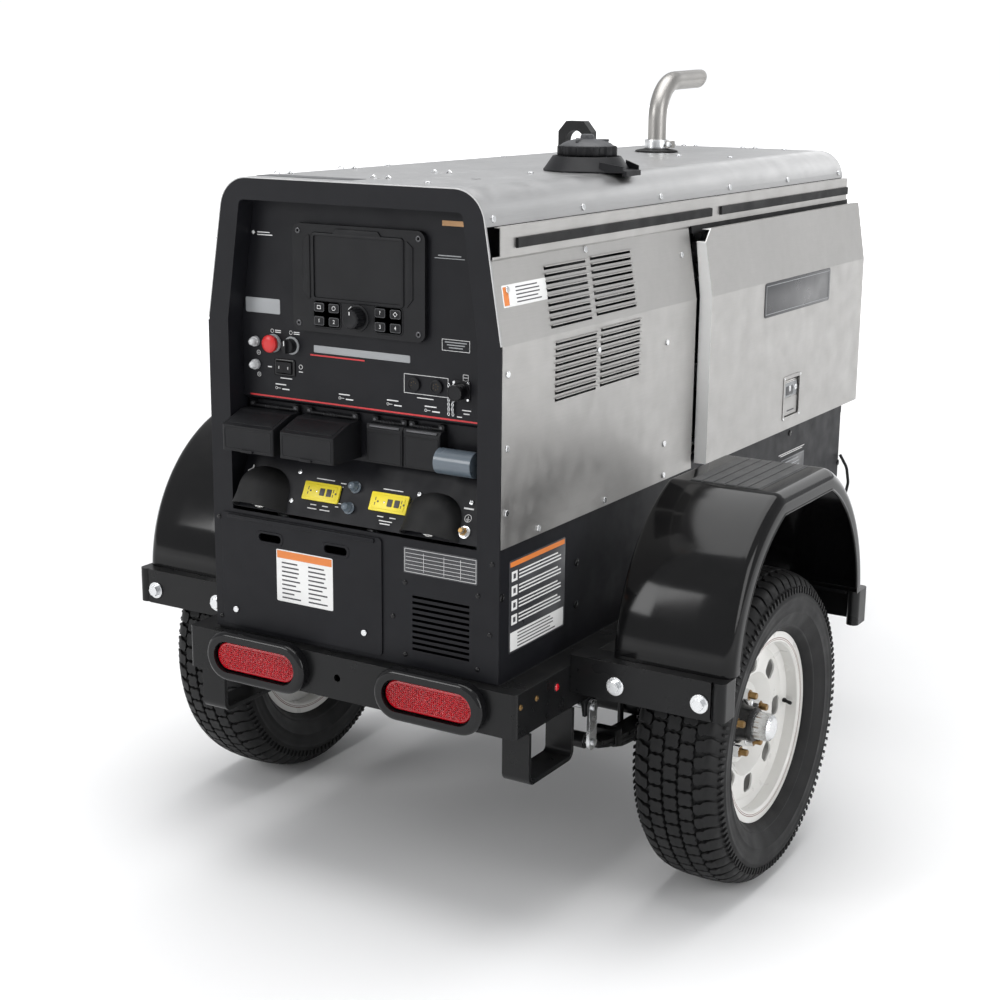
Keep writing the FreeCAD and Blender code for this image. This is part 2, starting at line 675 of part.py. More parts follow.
# ---- enclosure ----------------------------------------------------------------------------------
def base_frame():
    """Folded base pan with side walls, rear wall and a chamfered rear corner."""
    rear = BODY_LENGTH - 4
    floor = BASE_Z + 3
    side = [(4, BASE_Z), (1530, BASE_Z), (rear, 543), (rear, BASE_TOP), (4, BASE_TOP)]
    cavity = [(0, floor), (1529, floor), (rear - 3, 545), (rear - 3, BASE_TOP + 1), (0, BASE_TOP + 1)]
    outer = prism_x(side, -307.5, 307.5)
    inner = prism_x(cavity, -304.5, 304.5)
    pan = outer.cut(inner)
    lips = [box(x - 10, x + 10, 345, rear, BASE_TOP - 3, BASE_TOP) for x in (-294.5, 294.5)]
    beams = [box(-304.5, 304.5, y, y + 40, BASE_Z + 3, BASE_Z + 8) for y in (880, 1190)]
    return joined([pan] + lips + beams)


def recess_outline(inset):
    side = RECESS_HALF - inset
    top = RECESS_TOP_HALF - inset
    return [(-side, RECESS_LOW + inset), (side, RECESS_LOW + inset), (side, KINK_Z),
            (top, RECESS_TOP - inset), (-top, RECESS_TOP - inset), (-side, KINK_Z)]


def recess_prism(inset, y0, y1, radius):
    shape = prism_y(recess_outline(inset), y0, y1)
    return rounded(shape, (0, 1, 0), radius, lambda c: c.z > RECESS_TOP - inset - 0.1)


def front_frame():
    """Black face sheet: surround, drawer opening, louvres and a rim round the control recess."""
    face = joined([box(-HALF_WIDTH, HALF_WIDTH, 0, 3, 488, KINK_Z - 4), body_prism(2.3, KINK_Z - 10, 0, 3)])
    rim = recess_prism(0, 0, STRIP_Y, 12)
    hole = recess_prism(2.5, -1, STRIP_Y + 1, 10)
    below = [(3, RECESS_LOW - 1), (STRIP_Y + 1, RECESS_LOW - 1), (STRIP_Y + 1, STRIP_LOW)]
    slope_cut = prism_x(below, -300, 300)
    sheet = joined([face, rim.cut(slope_cut)]).cut(hole)
    tools = [box(-281, 61, -1, 4, 499, 704)]
    for i in range(10):
        z = 521 + 10.6 * i
        tools.append(box(133, 251, -1, 4, z - 2.5, z + 2.5))
    return cut_all(sheet, tools)


def control_panel():
    """Folded sheet: upright control area, outlet strip and sloped outlet panel."""
    front = [(PANEL_Y, RECESS_TOP), (PANEL_Y, STRIP_TOP + 8), (STRIP_Y, STRIP_TOP),
             (STRIP_Y, STRIP_LOW), (4, RECESS_LOW + 8)]
    back = [(y + 2.5, z) for y, z in reversed(front)]
    sheet = prism_x(front + back, -300, 300)
    sheet = sheet.common(recess_prism(3.2, 0, 100, 9.3))
    near = PANEL_Y - 10
    far = PANEL_Y + 10
    tools = [
        peg_y(10.5, *STOP_AT, near, far),
        peg_y(7.55, *START_AT, near, far),
        peg_y(6.55, *KNOB_AT, near, far),
        box(ROCKER_AT[0] - 19, ROCKER_AT[0] + 19, near, far, ROCKER_AT[1] - 13, ROCKER_AT[1] + 13),
        box(-96, 96, near, far, 1060, 1245),
    ]
    for x, z in STUDS_AT:
        tools.append(on_slope(peg_y(14, 0, 0, -5, 12), x, z))
    for x, z in BREAKERS_AT:
        tools.append(on_slope(peg_y(6.0, 0, 0, -5, 12), x, z))
    for x, z in SAFETY_OUTLETS_AT:
        tools.append(on_slope(box(-36, 36, -5, 12, -13, 13), x, z))
    for x in COVER_X:
        tools.append(peg_y(20, x, COVER_Z, STRIP_Y - 5, STRIP_Y + 8))
    return cut_all(sheet, tools)


def hood():
    """Stainless roof with leaning sides, a thin front lip and the service openings."""
    shell = body_prism(0, EAVE_Z + 1, 0, BODY_LENGTH).cut(body_prism(SHEET, EAVE_Z, -1, BODY_LENGTH + 1))
    lip = body_prism(0, KINK_Z + 1, 0, LIP_DEPTH).cut(body_prism(SHEET, KINK_Z, -1, LIP_DEPTH + 1))
    roof = joined([shell, lip])
    low = ROOF_Z - 24
    high = ROOF_Z + 16
    tools = [
        box(-42, 42, BAIL_Y - 16, BAIL_Y + 16, low, high),
        peg_z(46, FILLER_X, FILLER_Y, low, high),
        peg_z(9, 128, 209, low, high),
        round_box(EXHAUST_X - 52, EXHAUST_X + 52, EXHAUST_Y - 40, EXHAUST_Y + 40, low, high, (0, 0, 1), 38),
    ]
    for x, y in ROOF_SLOTS:
        tools.append(round_box(x - 18, x + 18, y - 3.5, y + 3.5, low, high, (0, 0, 1), 3.4))
    return cut_all(roof, tools)


def side_sheet(offset):
    """Section of the fixed side from its foot to the eave, moved inward by offset."""
    bend_x = lean_x(RAIL_LOW_Z - 4, offset)
    return [(HALF_WIDTH + 1 - offset, 726), (HALF_WIDTH - offset, 748), (HALF_WIDTH - offset, KINK_Z),
            (bend_x, RAIL_LOW_Z - 4), (EAVE_X - offset, RAIL_LOW_Z), (EAVE_X - offset, EAVE_Z - offset)]


def louvre(y0, y1, z, x):
    """Slot and the pressed hood above it."""
    slot = box(x - 6, x + 6, y0, y1, z - 3.2, z + 2.4)
    hood_bar = box(x - 1.5, x + 4.5, y0 - 1, y1 + 1, z + 2.4, z + 4.0)
    return slot, hood_bar


def side_panel():
    """Fixed stainless side with four groups of louvres, and the eave rail above the door."""
    outer = side_sheet(0)
    inner = side_sheet(SHEET)
    flange_x = lean_x(EAVE_Z, 0) + 0.4
    top = [(EAVE_X, EAVE_Z), (flange_x, EAVE_Z), (flange_x, EAVE_Z - SHEET)]
    points = outer[:-1] + top + [inner[-1]] + list(reversed(inner[:-1]))
    sheet = prism_y(points, 4, 745)
    sheet = sheet.cut(box(270, 320, 0, 26, KINK_Z + 145, 1300))
    rail_points = [(EAVE_X, RAIL_LOW_Z)] + top + [inner[-1], (EAVE_X - SHEET, RAIL_LOW_Z)]
    rail = prism_y(rail_points, 745, BODY_LENGTH)
    slots = []
    bars = []
    for y0, y1, z0, z1 in LOUVRES:
        for i in range(LOUVRE_COUNT):
            z = z0 + 5 + (z1 - z0 - 10) * i / (LOUVRE_COUNT - 1)
            x = HALF_WIDTH if z < KINK_Z else lean_x(z, 0)
            slot, bar = louvre(y0, y1, z, x)
            slots.append(slot)
            bars.append(bar)
    return cut_all(joined([sheet, rail] + bars), slots)


def side_panels():
    return both(side_panel())


def hinge_rails():
    """Rubber-faced trim strips along the eave rails."""
    shapes = []
    for y0, y1 in ((76, 838), (883, 1600)):
        strip = box(EAVE_X + 0.2, EAVE_X + 5, y0, y1, 1225, 1242)
        strip = rounded(strip, (0, 1, 0), 2, lambda c: c.x > EAVE_X + 4)
        shapes += [strip, mirrored(strip)]
    return Part.makeCompound(shapes)


def door():
    """Top-hinged service door: shallow pan with folded edges, a cut front corner and a latch cup."""
    inner_x = HALF_WIDTH + 1.5
    outer = [(inner_x, DOOR_LOW), (DOOR_X, DOOR_LOW), (DOOR_X, KINK_Z + 5), (DOOR_TOP_X, DOOR_TOP),
             (298, DOOR_TOP - 2), (inner_x, KINK_Z + 4)]
    hollow = [(200, DOOR_LOW + 2), (DOOR_X - 2, DOOR_LOW + 2), (DOOR_X - 2, KINK_Z + 4.5),
              (DOOR_TOP_X - 2, DOOR_TOP - 2.5), (200, DOOR_TOP - 2.5)]
    pan = prism_y(outer, DOOR_FRONT, DOOR_REAR).cut(prism_y(hollow, DOOR_FRONT + 2, DOOR_REAR - 2))
    front = DOOR_FRONT - 1
    cut_line = [(front, DOOR_TOP - 26), (DOOR_FRONT + 32, DOOR_TOP + 1), (front, DOOR_TOP + 1)]
    corner = prism_x(cut_line, 280, 350)
    cup_outer = box(DOOR_X - 18, DOOR_X - 0.01, CUP_FRONT - 3, CUP_REAR + 3, CUP_LOW - 3, CUP_TOP + 3)
    cup_inner = box(DOOR_X - 16, DOOR_X + 1, CUP_FRONT, CUP_REAR, CUP_LOW, CUP_TOP)
    return joined([pan, cup_outer]).cut(cup_inner).cut(corner)


def door_latch():
    """Paddle in the door's cup, hinged along its upper edge."""
    paddle = round_box(DOOR_X - 6, DOOR_X - 3, CUP_FRONT + 8, CUP_REAR - 8,
                       CUP_LOW + 9, CUP_TOP - 10, (1, 0, 0), 6)
    pin = peg_y(3.0, DOOR_X - 7, CUP_TOP - 8, CUP_FRONT + 4, CUP_REAR - 4)
    return joined([paddle, pin])


def rear_panel():
    """Engine-end face with a louvred coolant-air outlet."""
    sheet = body_prism(2.6, BASE_TOP - 40, BODY_LENGTH - 3.5, BODY_LENGTH - 1)
    slots = [box(-210, 210, 1590, 1610, z, z + 9) for z in range(800, 1200, 20)]
    bars = [box(x - 3, x + 3, BODY_LENGTH - 3.5, BODY_LENGTH - 1, 795, 1205) for x in (-105, 0, 105)]
    return joined([cut_all(sheet, slots)] + bars)


def lifting_bail():
    """Lifting frame: two legs, a cross beam and the eye plate that passes the roof."""
    y0 = BAIL_Y - 12
    y1 = BAIL_Y + 12
    plate = prism_y([(-38, 1280), (38, 1280), (38, 1385), (20, 1406), (-20, 1406), (-38, 1385)], y0, y1)
    beam = box(-258, 258, y0, y1, 1255, 1285)
    leg = box(243, 263, y0, y1, BASE_Z + 3, 1285)
    eye = peg_y(21.5, 0, 1366, y0 - 1, y1 + 1)
    return joined([plate, beam, leg, mirrored(leg)]).cut(eye)


def exhaust_system():
    """Muffler with inlet pipe, rain-bend outlet and clamp."""
    x = EXHAUST_X
    y = EXHAUST_Y
    muffler = peg_y(68, x, 1200, 1060, 1420).cut(peg_y(65, x, 1200, 1063, 1417))
    outside = sweep([(x, y, 1255), (x, y, 1480), (x, y + 206, 1487)], 21.0, 86.0)
    inside = sweep([(x, y, 1250), (x, y, 1480), (x, y + 216, 1487.4)], 19.0, 86.0)
    clamp = tube(26, 20.5, (x, y, 1332), (x, y, 1352))
    lug = box(x + 20, x + 42, y - 8, y + 8, 1334, 1350).cut(peg_z(20, x, y, 1330, 1354))
    inlet = tube(19, 17, (x, 1100, 1092), (x, 1100, 1150))
    return joined([muffler, outside, clamp, lug, inlet]).cut(inside)


def fuel_filler():
    """Black spill ring on the roof with a spout toward the side, and the neck below it."""
    x, y = FILLER_X, FILLER_Y
    low = ROOF_Z + 0.3
    skirt = Part.makeCone(82, 64, 28, V(x, y, low))
    plan = [(x + 20, y - 62), (x + 98, y - 30), (x + 98, y + 30), (x + 20, y + 62)]
    spout = prism_z(plan, low, ROOF_Z + 16)
    spout = spout.common(box(0, ROOF_HALF - 8, y - 70, y + 70, 1300, 1400))
    neck = peg_z(44, x, y, 1296, ROOF_Z + 1)
    return joined([skirt, spout, neck]).cut(peg_z(38, x, y, 1290, ROOF_Z + 40))


def fuel_cap():
    """Vented cap with gripping notches and a top knob."""
    x, y = FILLER_X, FILLER_Y
    low = ROOF_Z + 29
    brim = low + 17
    skirt = peg_z(56, x, y, low, brim)
    notch = peg_z(5, x + 58, y, low - 1, brim + 1)
    skirt = cut_all(skirt, ring_of(notch, (0, 0, 1), (x, y, 0), 12))
    ball = Part.makeSphere(70, V(x, y, brim - 56))
    dome = ball.common(box(x - 60, x + 60, y - 60, y + 60, brim - 0.1, brim + 43))
    plug = peg_z(37, x, y, low - 24, low)
    knob = softened(peg_z(13, x, y, low + 25, low + 38), 4, low + 38, (0, 0, 1))
    return joined([skirt, dome, plug, knob])


# ---- machinery inside ---------------------------------------------------------------------------
def fuel_tank():
    """Moulded tank across the machine, with the neck under the filler."""
    outer = round_box(-235, 235, 360, 760, 1110, 1248, (0, 0, 1), 40)
    neck = cyl(34, (FILLER_X, FILLER_Y, 1245), (FILLER_X, FILLER_Y, 1294))
    inner = round_box(-230, 230, 365, 755, 1115, 1243, (0, 0, 1), 35)
    bore = cyl(30, (FILLER_X, FILLER_Y, 1240), (FILLER_X, FILLER_Y, 1295))
    return joined([outer, neck]).cut(inner).cut(bore)


def engine():
    """Three-cylinder diesel: block, sump, head, flywheel housing, air cleaner and feet."""
    block = box(-150, 150, 850, 1330, 600, 960).cut(box(-138, 138, 862, 1318, 612, 948))
    sump = box(-110, 110, 880, 1290, 530, 600).cut(box(-106, 106, 884, 1286, 534, 601))
    head = box(-110, 110, 870, 1310, 960, 1030).cut(box(-98, 98, 880, 1300, 966, 1024))
    rocker = round_box(-80, 80, 885, 1295, 1030, 1075, (0, 1, 0), 20).cut(box(-74, 74, 890, 1290, 1031, 1068))
    housing = tube(185, 150, (0, 826, SHAFT_Z), (0, 850, SHAFT_Z))
    cleaner = tube(65, 62, (195, 1000, 1010), (195, 1260, 1010))
    caps = [cyl(65, (195, y, 1010), (195, y + 4, 1010)) for y in (996, 1260)]
    snorkel = box(100, 150, 1080, 1120, 990, 1020)
    feet = []
    for y in (900, 1240):
        foot = box(145, 185, y, y + 60, BASE_Z + 8.5, 640)
        feet += [foot, mirrored(foot)]
    flange = cyl(19, (EXHAUST_X, 1100, 1070), (EXHAUST_X, 1100, 1091.5))
    return joined([block, sump, head, rocker, housing, cleaner, snorkel, flange] + caps + feet)


def radiator():
    """Hollow core between two tanks, with a fan shroud and feet."""
    core = box(-235, 235, 1475, 1515, 600, 1130).cut(box(-231, 231, 1478, 1512, 603, 1127))
    tanks = []
    for z in (560, 1130):
        tank = round_box(-240, 240, 1470, 1520, z, z + 45, (1, 0, 0), 12)
        tanks.append(tank.cut(box(-237, 237, 1473, 1517, z + 3, z + 42)))
    shroud = box(-225, 225, 1425, 1475, 620, 1110).cut(box(-222, 222, 1428, 1475, 623, 1107))
    shroud = shroud.cut(cyl(205, (0, 1420, 865), (0, 1476, 865)))
    feet = [box(x, x + 40, 1470, 1520, BASE_Z + 3.2, 561) for x in (-220, 180)]
    return joined([core, shroud] + tanks + feet)


def generator():
    """Stator housing bolted ahead of the engine, with end bell, adapter ring and feet."""
    shell = tube(190, 182, (0, 440, SHAFT_Z), (0, 790, SHAFT_Z))
    stator = tube(182, 118, (0, 520, SHAFT_Z), (0, 660, SHAFT_Z))
    bell = tube(190, SHAFT_RADIUS + RUNNING, (0, 428, SHAFT_Z), (0, 440, SHAFT_Z))
    clear = peg_y(181, 0, SHAFT_Z, 450, 710)
    feet = []
    for x in (-160, 148):
        feet.append(box(x, x + 12, 460, 700, BASE_Z + 3.2, 700).cut(clear))
        feet.append(box(x - 15, x + 27, 460, 700, BASE_Z + 3.2, BASE_Z + 13))
    return joined([shell, stator, bell] + feet)


def rotor_and_fan():
    """Rotor, shaft, cooling fan and drive plate turning as one."""
    axis = SHAFT_Z
    shaft = peg_y(SHAFT_RADIUS, 0, axis, 420, 824)
    core = tube(115, 80, (0, 520, axis), (0, 660, axis))
    spider = [peg_y(81, 0, axis, y, y + 14) for y in (540, 626)]
    disc = tube(150, 21, (0, 760, axis), (0, 764, axis))
    plate = tube(140, 21, (0, 812, axis), (0, 820, axis))
    blade = box(-2, 2, 735, 761, axis + 60, axis + 148)
    blades = ring_of(blade, (0, 1, 0), (0, 0, axis), 12)
    return joined([shaft, core, disc, plate] + spider + blades)


def inverter_module():
    """Power module: box with a finned heat sink and two fans' frames."""
    case = box(-240, 240, 110, 330, 800, 1090).cut(box(-237, 237, 113, 327, 803, 1087))
    sink = [box(-200 + 16 * i, -196 + 16 * i, 130, 310, 1090, 1130) for i in range(26)]
    shelf = box(-303, 240, 110, 330, 795, 800)
    legs = []
    for x in (-303, 210):
        post = box(x, x + 20, 120, 320, BASE_Z + 3.2, 795)
        legs.append(post.cut(box(x + 3, x + 17, 123, 317, BASE_Z, 792)))
    return joined([case, shelf] + sink + legs)


# ---- controls -----------------------------------------------------------------------------------
def display_module():
    """Bezel with the screen window, key wells and the body behind the panel."""
    bezel = round_box(-140, 140, PANEL_Y - 10, PANEL_Y - 0.2, 1058, 1247, (0, 1, 0), 16)
    body = box(-94, 94, PANEL_Y - 0.2, PANEL_Y + 40, 1062, 1243)
    window = round_box(-93, 93, PANEL_Y - 11, PANEL_Y - 7, 1118, 1229, (0, 1, 0), 5)
    tools = [window, peg_y(6.05, *KNOB_AT, PANEL_Y - 20, PANEL_Y + 50)]
    for x, z in KEYS:
        tools.append(box(x - 11.3, x + 11.3, PANEL_Y - 11, PANEL_Y - 5, z - 8.3, z + 8.3))
    return cut_all(joined([bezel, body]), tools)


def keypad():
    """Eight keys that share one travel."""
    keys = []
    for x, z in KEYS:
        key = round_box(x - 10.8, x + 10.8, PANEL_Y - 13, PANEL_Y - 7, z - 7.8, z + 7.8, (0, 1, 0), 3)
        keys.append(key)
    return Part.makeCompound(keys)


def display_knob():
    """Fluted knob on its shaft."""
    x, z = KNOB_AT
    end = PANEL_Y - 34
    grip = softened(peg_y(17, x, z, end, end + 23), 2.5, end, (0, 1, 0))
    flute = peg_y(2, x + 18, z, end - 1, end + 24)
    grip = cut_all(grip, ring_of(flute, (0, 1, 0), (x, 0, z), 16))
    return joined([grip, peg_y(6.0, x, z, end + 22, end + 48)])


def stop_button():
    """Push button on its stem."""
    end = PANEL_Y - 17
    head = softened(peg_y(15, *STOP_AT, end, end + 9), 3, end, (0, 1, 0))
    return joined([head, peg_y(8, *STOP_AT, end + 8, end + 29)])


def start_switch():
    """Rotary switch with a finger bar across its face."""
    x, z = START_AT
    knob = peg_y(13, x, z, PANEL_Y - 16, PANEL_Y - 3)
    bar = box(x - 3, x + 3, PANEL_Y - 24, PANEL_Y - 15, z - 11, z + 11)
    return joined([knob, bar, peg_y(7.5, x, z, PANEL_Y - 4, PANEL_Y + 14)])


def rocker_switch():
    """Two-way rocker on a vertical pivot."""
    x, z = ROCKER_AT
    plan = [(x - 17, 34), (x, 36.5), (x + 17, 34), (x + 17, 38), (x + 4, 44), (x - 4, 44), (x - 17, 38)]
    return prism_z(plan, z - 10, z + 10)


def socket_cover(x0, x1, deep):
    """Spring-closed cover over one outlet: open-backed shell with a bevelled top."""
    if deep:
        outline = [(STRIP_Y - 1, 904), (24, 904), (-30, 884), (-30, 837), (STRIP_Y - 1, 837)]
        hollow = [(STRIP_Y, 901), (24, 901), (-27, 881.5), (-27, 840), (STRIP_Y, 840)]
    else:
        outline = [(STRIP_Y - 1, 906), (36, 906), (31, 898), (31, 837), (STRIP_Y - 1, 837)]
        hollow = [(STRIP_Y, 903), (37, 903), (34, 897), (34, 840), (STRIP_Y, 840)]
    shell = prism_x(outline, x0, x1)
    shell = rounded(shell, (0, 0, 1), 4, lambda c: c.y < 32)
    return shell.cut(prism_x(hollow, x0 + 3, x1 - 3))


def outlets():
    """Receptacle faces under the covers and the two rectangular outlets on the sloped panel."""
    shapes = []
    for x in COVER_X:
        flange = peg_y(24, x, COVER_Z, STRIP_Y - 8, STRIP_Y - 0.1)
        body = peg_y(19.5, x, COVER_Z, STRIP_Y - 0.1, STRIP_Y + 40)
        hole = peg_y(3, x, COVER_Z + 9, STRIP_Y - 9, STRIP_Y + 8)
        holes = ring_of(hole, (0, 1, 0), (x, 0, COVER_Z), 3)
        shapes.append(cut_all(joined([flange, body]), holes))
    plate = round_box(-39, 39, -4, -0.2, -16.5, 16.5, (0, 1, 0), 2)
    device = joined([plate, box(-35.5, 35.5, -0.2, 26, -12.5, 12.5)])
    slots = [box(x, x + 3, -5, 4, z, z + 9) for x in (-28, 22) for z in (-9, 1)]
    device = cut_all(device, slots)
    shapes += [on_slope(device, x, z) for x, z in SAFETY_OUTLETS_AT]
    return Part.makeCompound(shapes)


def breaker(place):
    """Push-to-reset button of a circuit breaker."""
    stem = softened(peg_y(5.5, 0, 0, -14, 14), 1.5, -14, (0, 1, 0))
    return on_slope(stem, *place)


def stud_covers():
    """Flexible domes over the two weld studs."""
    dome = Part.makeSphere(51, V(0, 8, 0)).cut(Part.makeSphere(48, V(0, 8, 0)))
    dome = dome.common(box(-60, 60, -60, -0.3, -60, 60))
    mouth = prism_x([(-60, -60), (-10, -60), (-30, -18), (-60, -18)], -28, 28)
    dome = dome.cut(mouth)
    sill = joined([
        box(-300, 300, -0.3, 60, 600, RECESS_LOW + 6),
        box(-300, 300, -3.6, 0, 600, RECESS_LOW - 2),
    ])
    return Part.makeCompound([on_slope(dome, x, z + 3).cut(sill) for x, z in STUDS_AT])


def panel_fittings():
    """Lamps, remote-control sockets, weld studs, ground stud and the capped connector."""
    face = PANEL_Y - 0.2
    shapes = []
    for x, z in LAMPS_AT:
        shapes.append(joined([peg_y(9, x, z, face - 6, face), peg_y(6, x, z, face - 12, face)]))
    for x, z in REMOTES_AT:
        shapes.append(peg_y(11, x, z, face - 4, face))
    shapes.append(joined([peg_y(17, *CAPPED_AT, face - 5, face), peg_y(14, *CAPPED_AT, face - 24, face)]))
    x, z = DUST_CAP_AT
    shapes.append(joined([peg_x(22.5, 26, z, x - 37, x + 37), peg_y(12, x, z, 26, STRIP_Y - 0.3)]))
    for x, z in STUDS_AT:
        stud = joined([peg_y(12.7, 0, 0, -30, 24), peg_y(20, 0, 0, -6, -0.3)])
        shapes.append(on_slope(stud, x, z))
    ground = joined([peg_y(5, 0, 0, -14, -0.3), hexagon(9, 6, (0, -0.4, 0), (0, -1, 0))])
    shapes.append(on_slope(ground, *GROUND_AT))
    return Part.makeCompound(shapes)


def battery_drawer():
    """Front plate with two hand slots, and the tray on its runners."""
    front = round_box(-290, 70, -3.2, -0.2, 496, 712, (0, 1, 0), 8)
    for x in (-177, -29):
        front = front.cut(round_box(x - 26, x + 26, -5, 5, 668, 684, (0, 1, 0), 7.9))
    tray = box(-276, 56, -0.3, 330, 502, 560).cut(box(-273, 53, 3, 327, 505, 561))
    return joined([front, tray])


def battery():
    """Starting battery with its two posts."""
    case = box(-245, 20, 60, 235, 505.5, 684)
    posts = [cyl(9, (x, 90, 684), (x, 90, 698)) for x in (-215, -10)]
    return joined([case] + posts)


# ---- fasteners and cable ------------------------------------------------------------------------
def screw_head(radius=6.0, height=2.6):
    return softened(Part.makeCylinder(radius, height), 1.2, height, (0, 0, 1))


def placed(shape, point, normal):
    copy = shape.copy()
    copy.Placement = FreeCAD.Placement(V(*point), FreeCAD.Rotation(V(0, 0, 1), V(*normal)))
    return copy


def screws():
    """Panel screws and the fender bolts."""
    head = screw_head()
    shapes = []
    gap = 0.2
    for side in (-1, 1):
        for y, z in SIDE_SCREWS:
            shapes.append(placed(head, (side * (HALF_WIDTH + gap), y, z), (side, 0, 0)))
        for y in FOOT_SCREWS:
            shapes.append(placed(head, (side * (HALF_WIDTH + 0.5 + gap), y, FOOT_SCREW_Z), (side, 0, 0.045)))
        out = (-INWARD.x * side, 0, -INWARD.z)
        for y, z in LEAN_SCREWS:
            shapes.append(placed(head, (side * (lean_x(z, 0) + gap), y, z), out))
    for x, y in ROOF_SCREWS:
        shapes.append(placed(head, (x, y, ROOF_Z + gap), (0, 0, 1)))
    for x, z in DRAWER_SCREWS:
        shapes.append(placed(head, (x, -3.4, z), (0, -1, 0)))
    bolt = joined([screw_head(17, 3), moved(hexagon(11, 8, (0, 0, 0), (0, 0, 1)), 0, 0, 2.9)])
    for x in (450, 612):
        front = placed(bolt, (x, BRACKET_FRONT - gap, 463), (0, -1, 0))
        for one in (front, across_axle(front)):
            shapes += [one, mirrored(one)]
    return Part.makeCompound(shapes)


def trailer_cable():
    """Lighting cable looped between the base's rear corner and the frame."""
    points = [(312, 1601, 597), (331, 1601, 567), (337, 1601, 530), (330, 1601, 492), (309, 1601, 458),
              (200, 1625, 430), (120, 1850, 425), (60, 2110, 395)]
    return sweep(points, 3.5, 36.0)


# ---- output -------------------------------------------------------------------------------------
def main():
    save("trailer_frame", trailer_frame())
    save("light_housings", light_housings())
    save("light_lenses", light_lenses())
    save("fenders", both(fender()))
    save("fender_brackets", fender_brackets())
    save("coupler", coupler())
    save("coupler_latch", coupler_latch())
    save("safety_chains", safety_chains())
    save("spring_shackles", spring_shackles())
    save("leaf_springs", both(leaf_spring()))
    save("axle_beam", axle_beam())
    for name, shape in (("tyre", tyre()), ("rim", rim()), ("hub", hub())):
        save(name + "_right", shape)
        save(name + "_left", mirrored(shape))
    save("jack_body", jack_body())
    save("jack_leg", jack_leg())
    save("jack_handle", jack_handle())
    save("base_frame", base_frame())
    save("front_frame", front_frame())
    save("control_panel", control_panel())
    save("hood", hood())
    save("side_panels", side_panels())
    save("hinge_rails", hinge_rails())
    for name, shape in (("door", door()), ("latch", door_latch())):
        save(name + "_right", shape)
        save(name + "_left", mirrored(shape))
    save("rear_panel", rear_panel())
    save("lifting_bail", lifting_bail())
    save("exhaust_system", exhaust_system())
    save("fuel_filler", fuel_filler())
    save("fuel_cap", fuel_cap())
    save("fuel_tank", fuel_tank())
    save("engine", engine())
    save("radiator", radiator())
    save("generator", generator())
    save("rotor_and_fan", rotor_and_fan())
    save("inverter_module", inverter_module())
    save("display_module", display_module())
    save("keypad", keypad())
    save("display_knob", display_knob())
    save("stop_button", stop_button())
    save("start_switch", start_switch())
    save("rocker_switch", rocker_switch())
    save("outlet_cover_1", socket_cover(-260, -145, True))
    save("outlet_cover_2", socket_cover(-130, -13, True))
    save("outlet_cover_3", socket_cover(14.5, 91.5, False))
    save("outlet_cover_4", socket_cover(92.5, 169.5, False))
    save("outlets", outlets())
    save("breaker_upper", breaker(BREAKERS_AT[0]))
    save("breaker_lower", breaker(BREAKERS_AT[1]))
    save("stud_covers", stud_covers())
    save("panel_fittings", panel_fittings())
    save("battery_drawer", battery_drawer())
    save("battery", battery())
    save("screws", screws())
    save("trailer_cable", trailer_cable())


main()
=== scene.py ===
import math
import random

import bmesh
import bpy
from mathutils import Matrix, Vector


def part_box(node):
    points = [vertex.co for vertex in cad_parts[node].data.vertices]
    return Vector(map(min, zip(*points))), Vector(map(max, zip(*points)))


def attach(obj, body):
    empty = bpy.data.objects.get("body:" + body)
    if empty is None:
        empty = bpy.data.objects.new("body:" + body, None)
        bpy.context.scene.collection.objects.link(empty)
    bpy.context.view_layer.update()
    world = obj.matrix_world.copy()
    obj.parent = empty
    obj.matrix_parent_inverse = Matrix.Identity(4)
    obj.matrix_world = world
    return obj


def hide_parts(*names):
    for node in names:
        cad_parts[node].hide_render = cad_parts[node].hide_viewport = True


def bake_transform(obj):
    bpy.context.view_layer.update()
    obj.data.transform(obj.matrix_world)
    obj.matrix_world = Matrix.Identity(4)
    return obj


# Looks of a trailer-mounted engine-driven welder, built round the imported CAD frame.
# Lengths named in millimetres are turned into metres by MM or spot().

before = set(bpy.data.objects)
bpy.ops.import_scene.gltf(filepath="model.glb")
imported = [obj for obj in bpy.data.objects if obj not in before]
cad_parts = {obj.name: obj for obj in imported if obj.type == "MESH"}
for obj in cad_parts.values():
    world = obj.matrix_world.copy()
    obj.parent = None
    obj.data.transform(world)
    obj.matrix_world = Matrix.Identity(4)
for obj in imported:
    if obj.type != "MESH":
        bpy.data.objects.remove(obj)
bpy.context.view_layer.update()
random.seed(11)

MM = 0.001
FACE_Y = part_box("front_frame")[0].y


def spot(x, y, z):
    """Point in millimetres from the centreline, the control face and the ground."""
    return Vector((x * MM, FACE_Y + y * MM, z * MM))


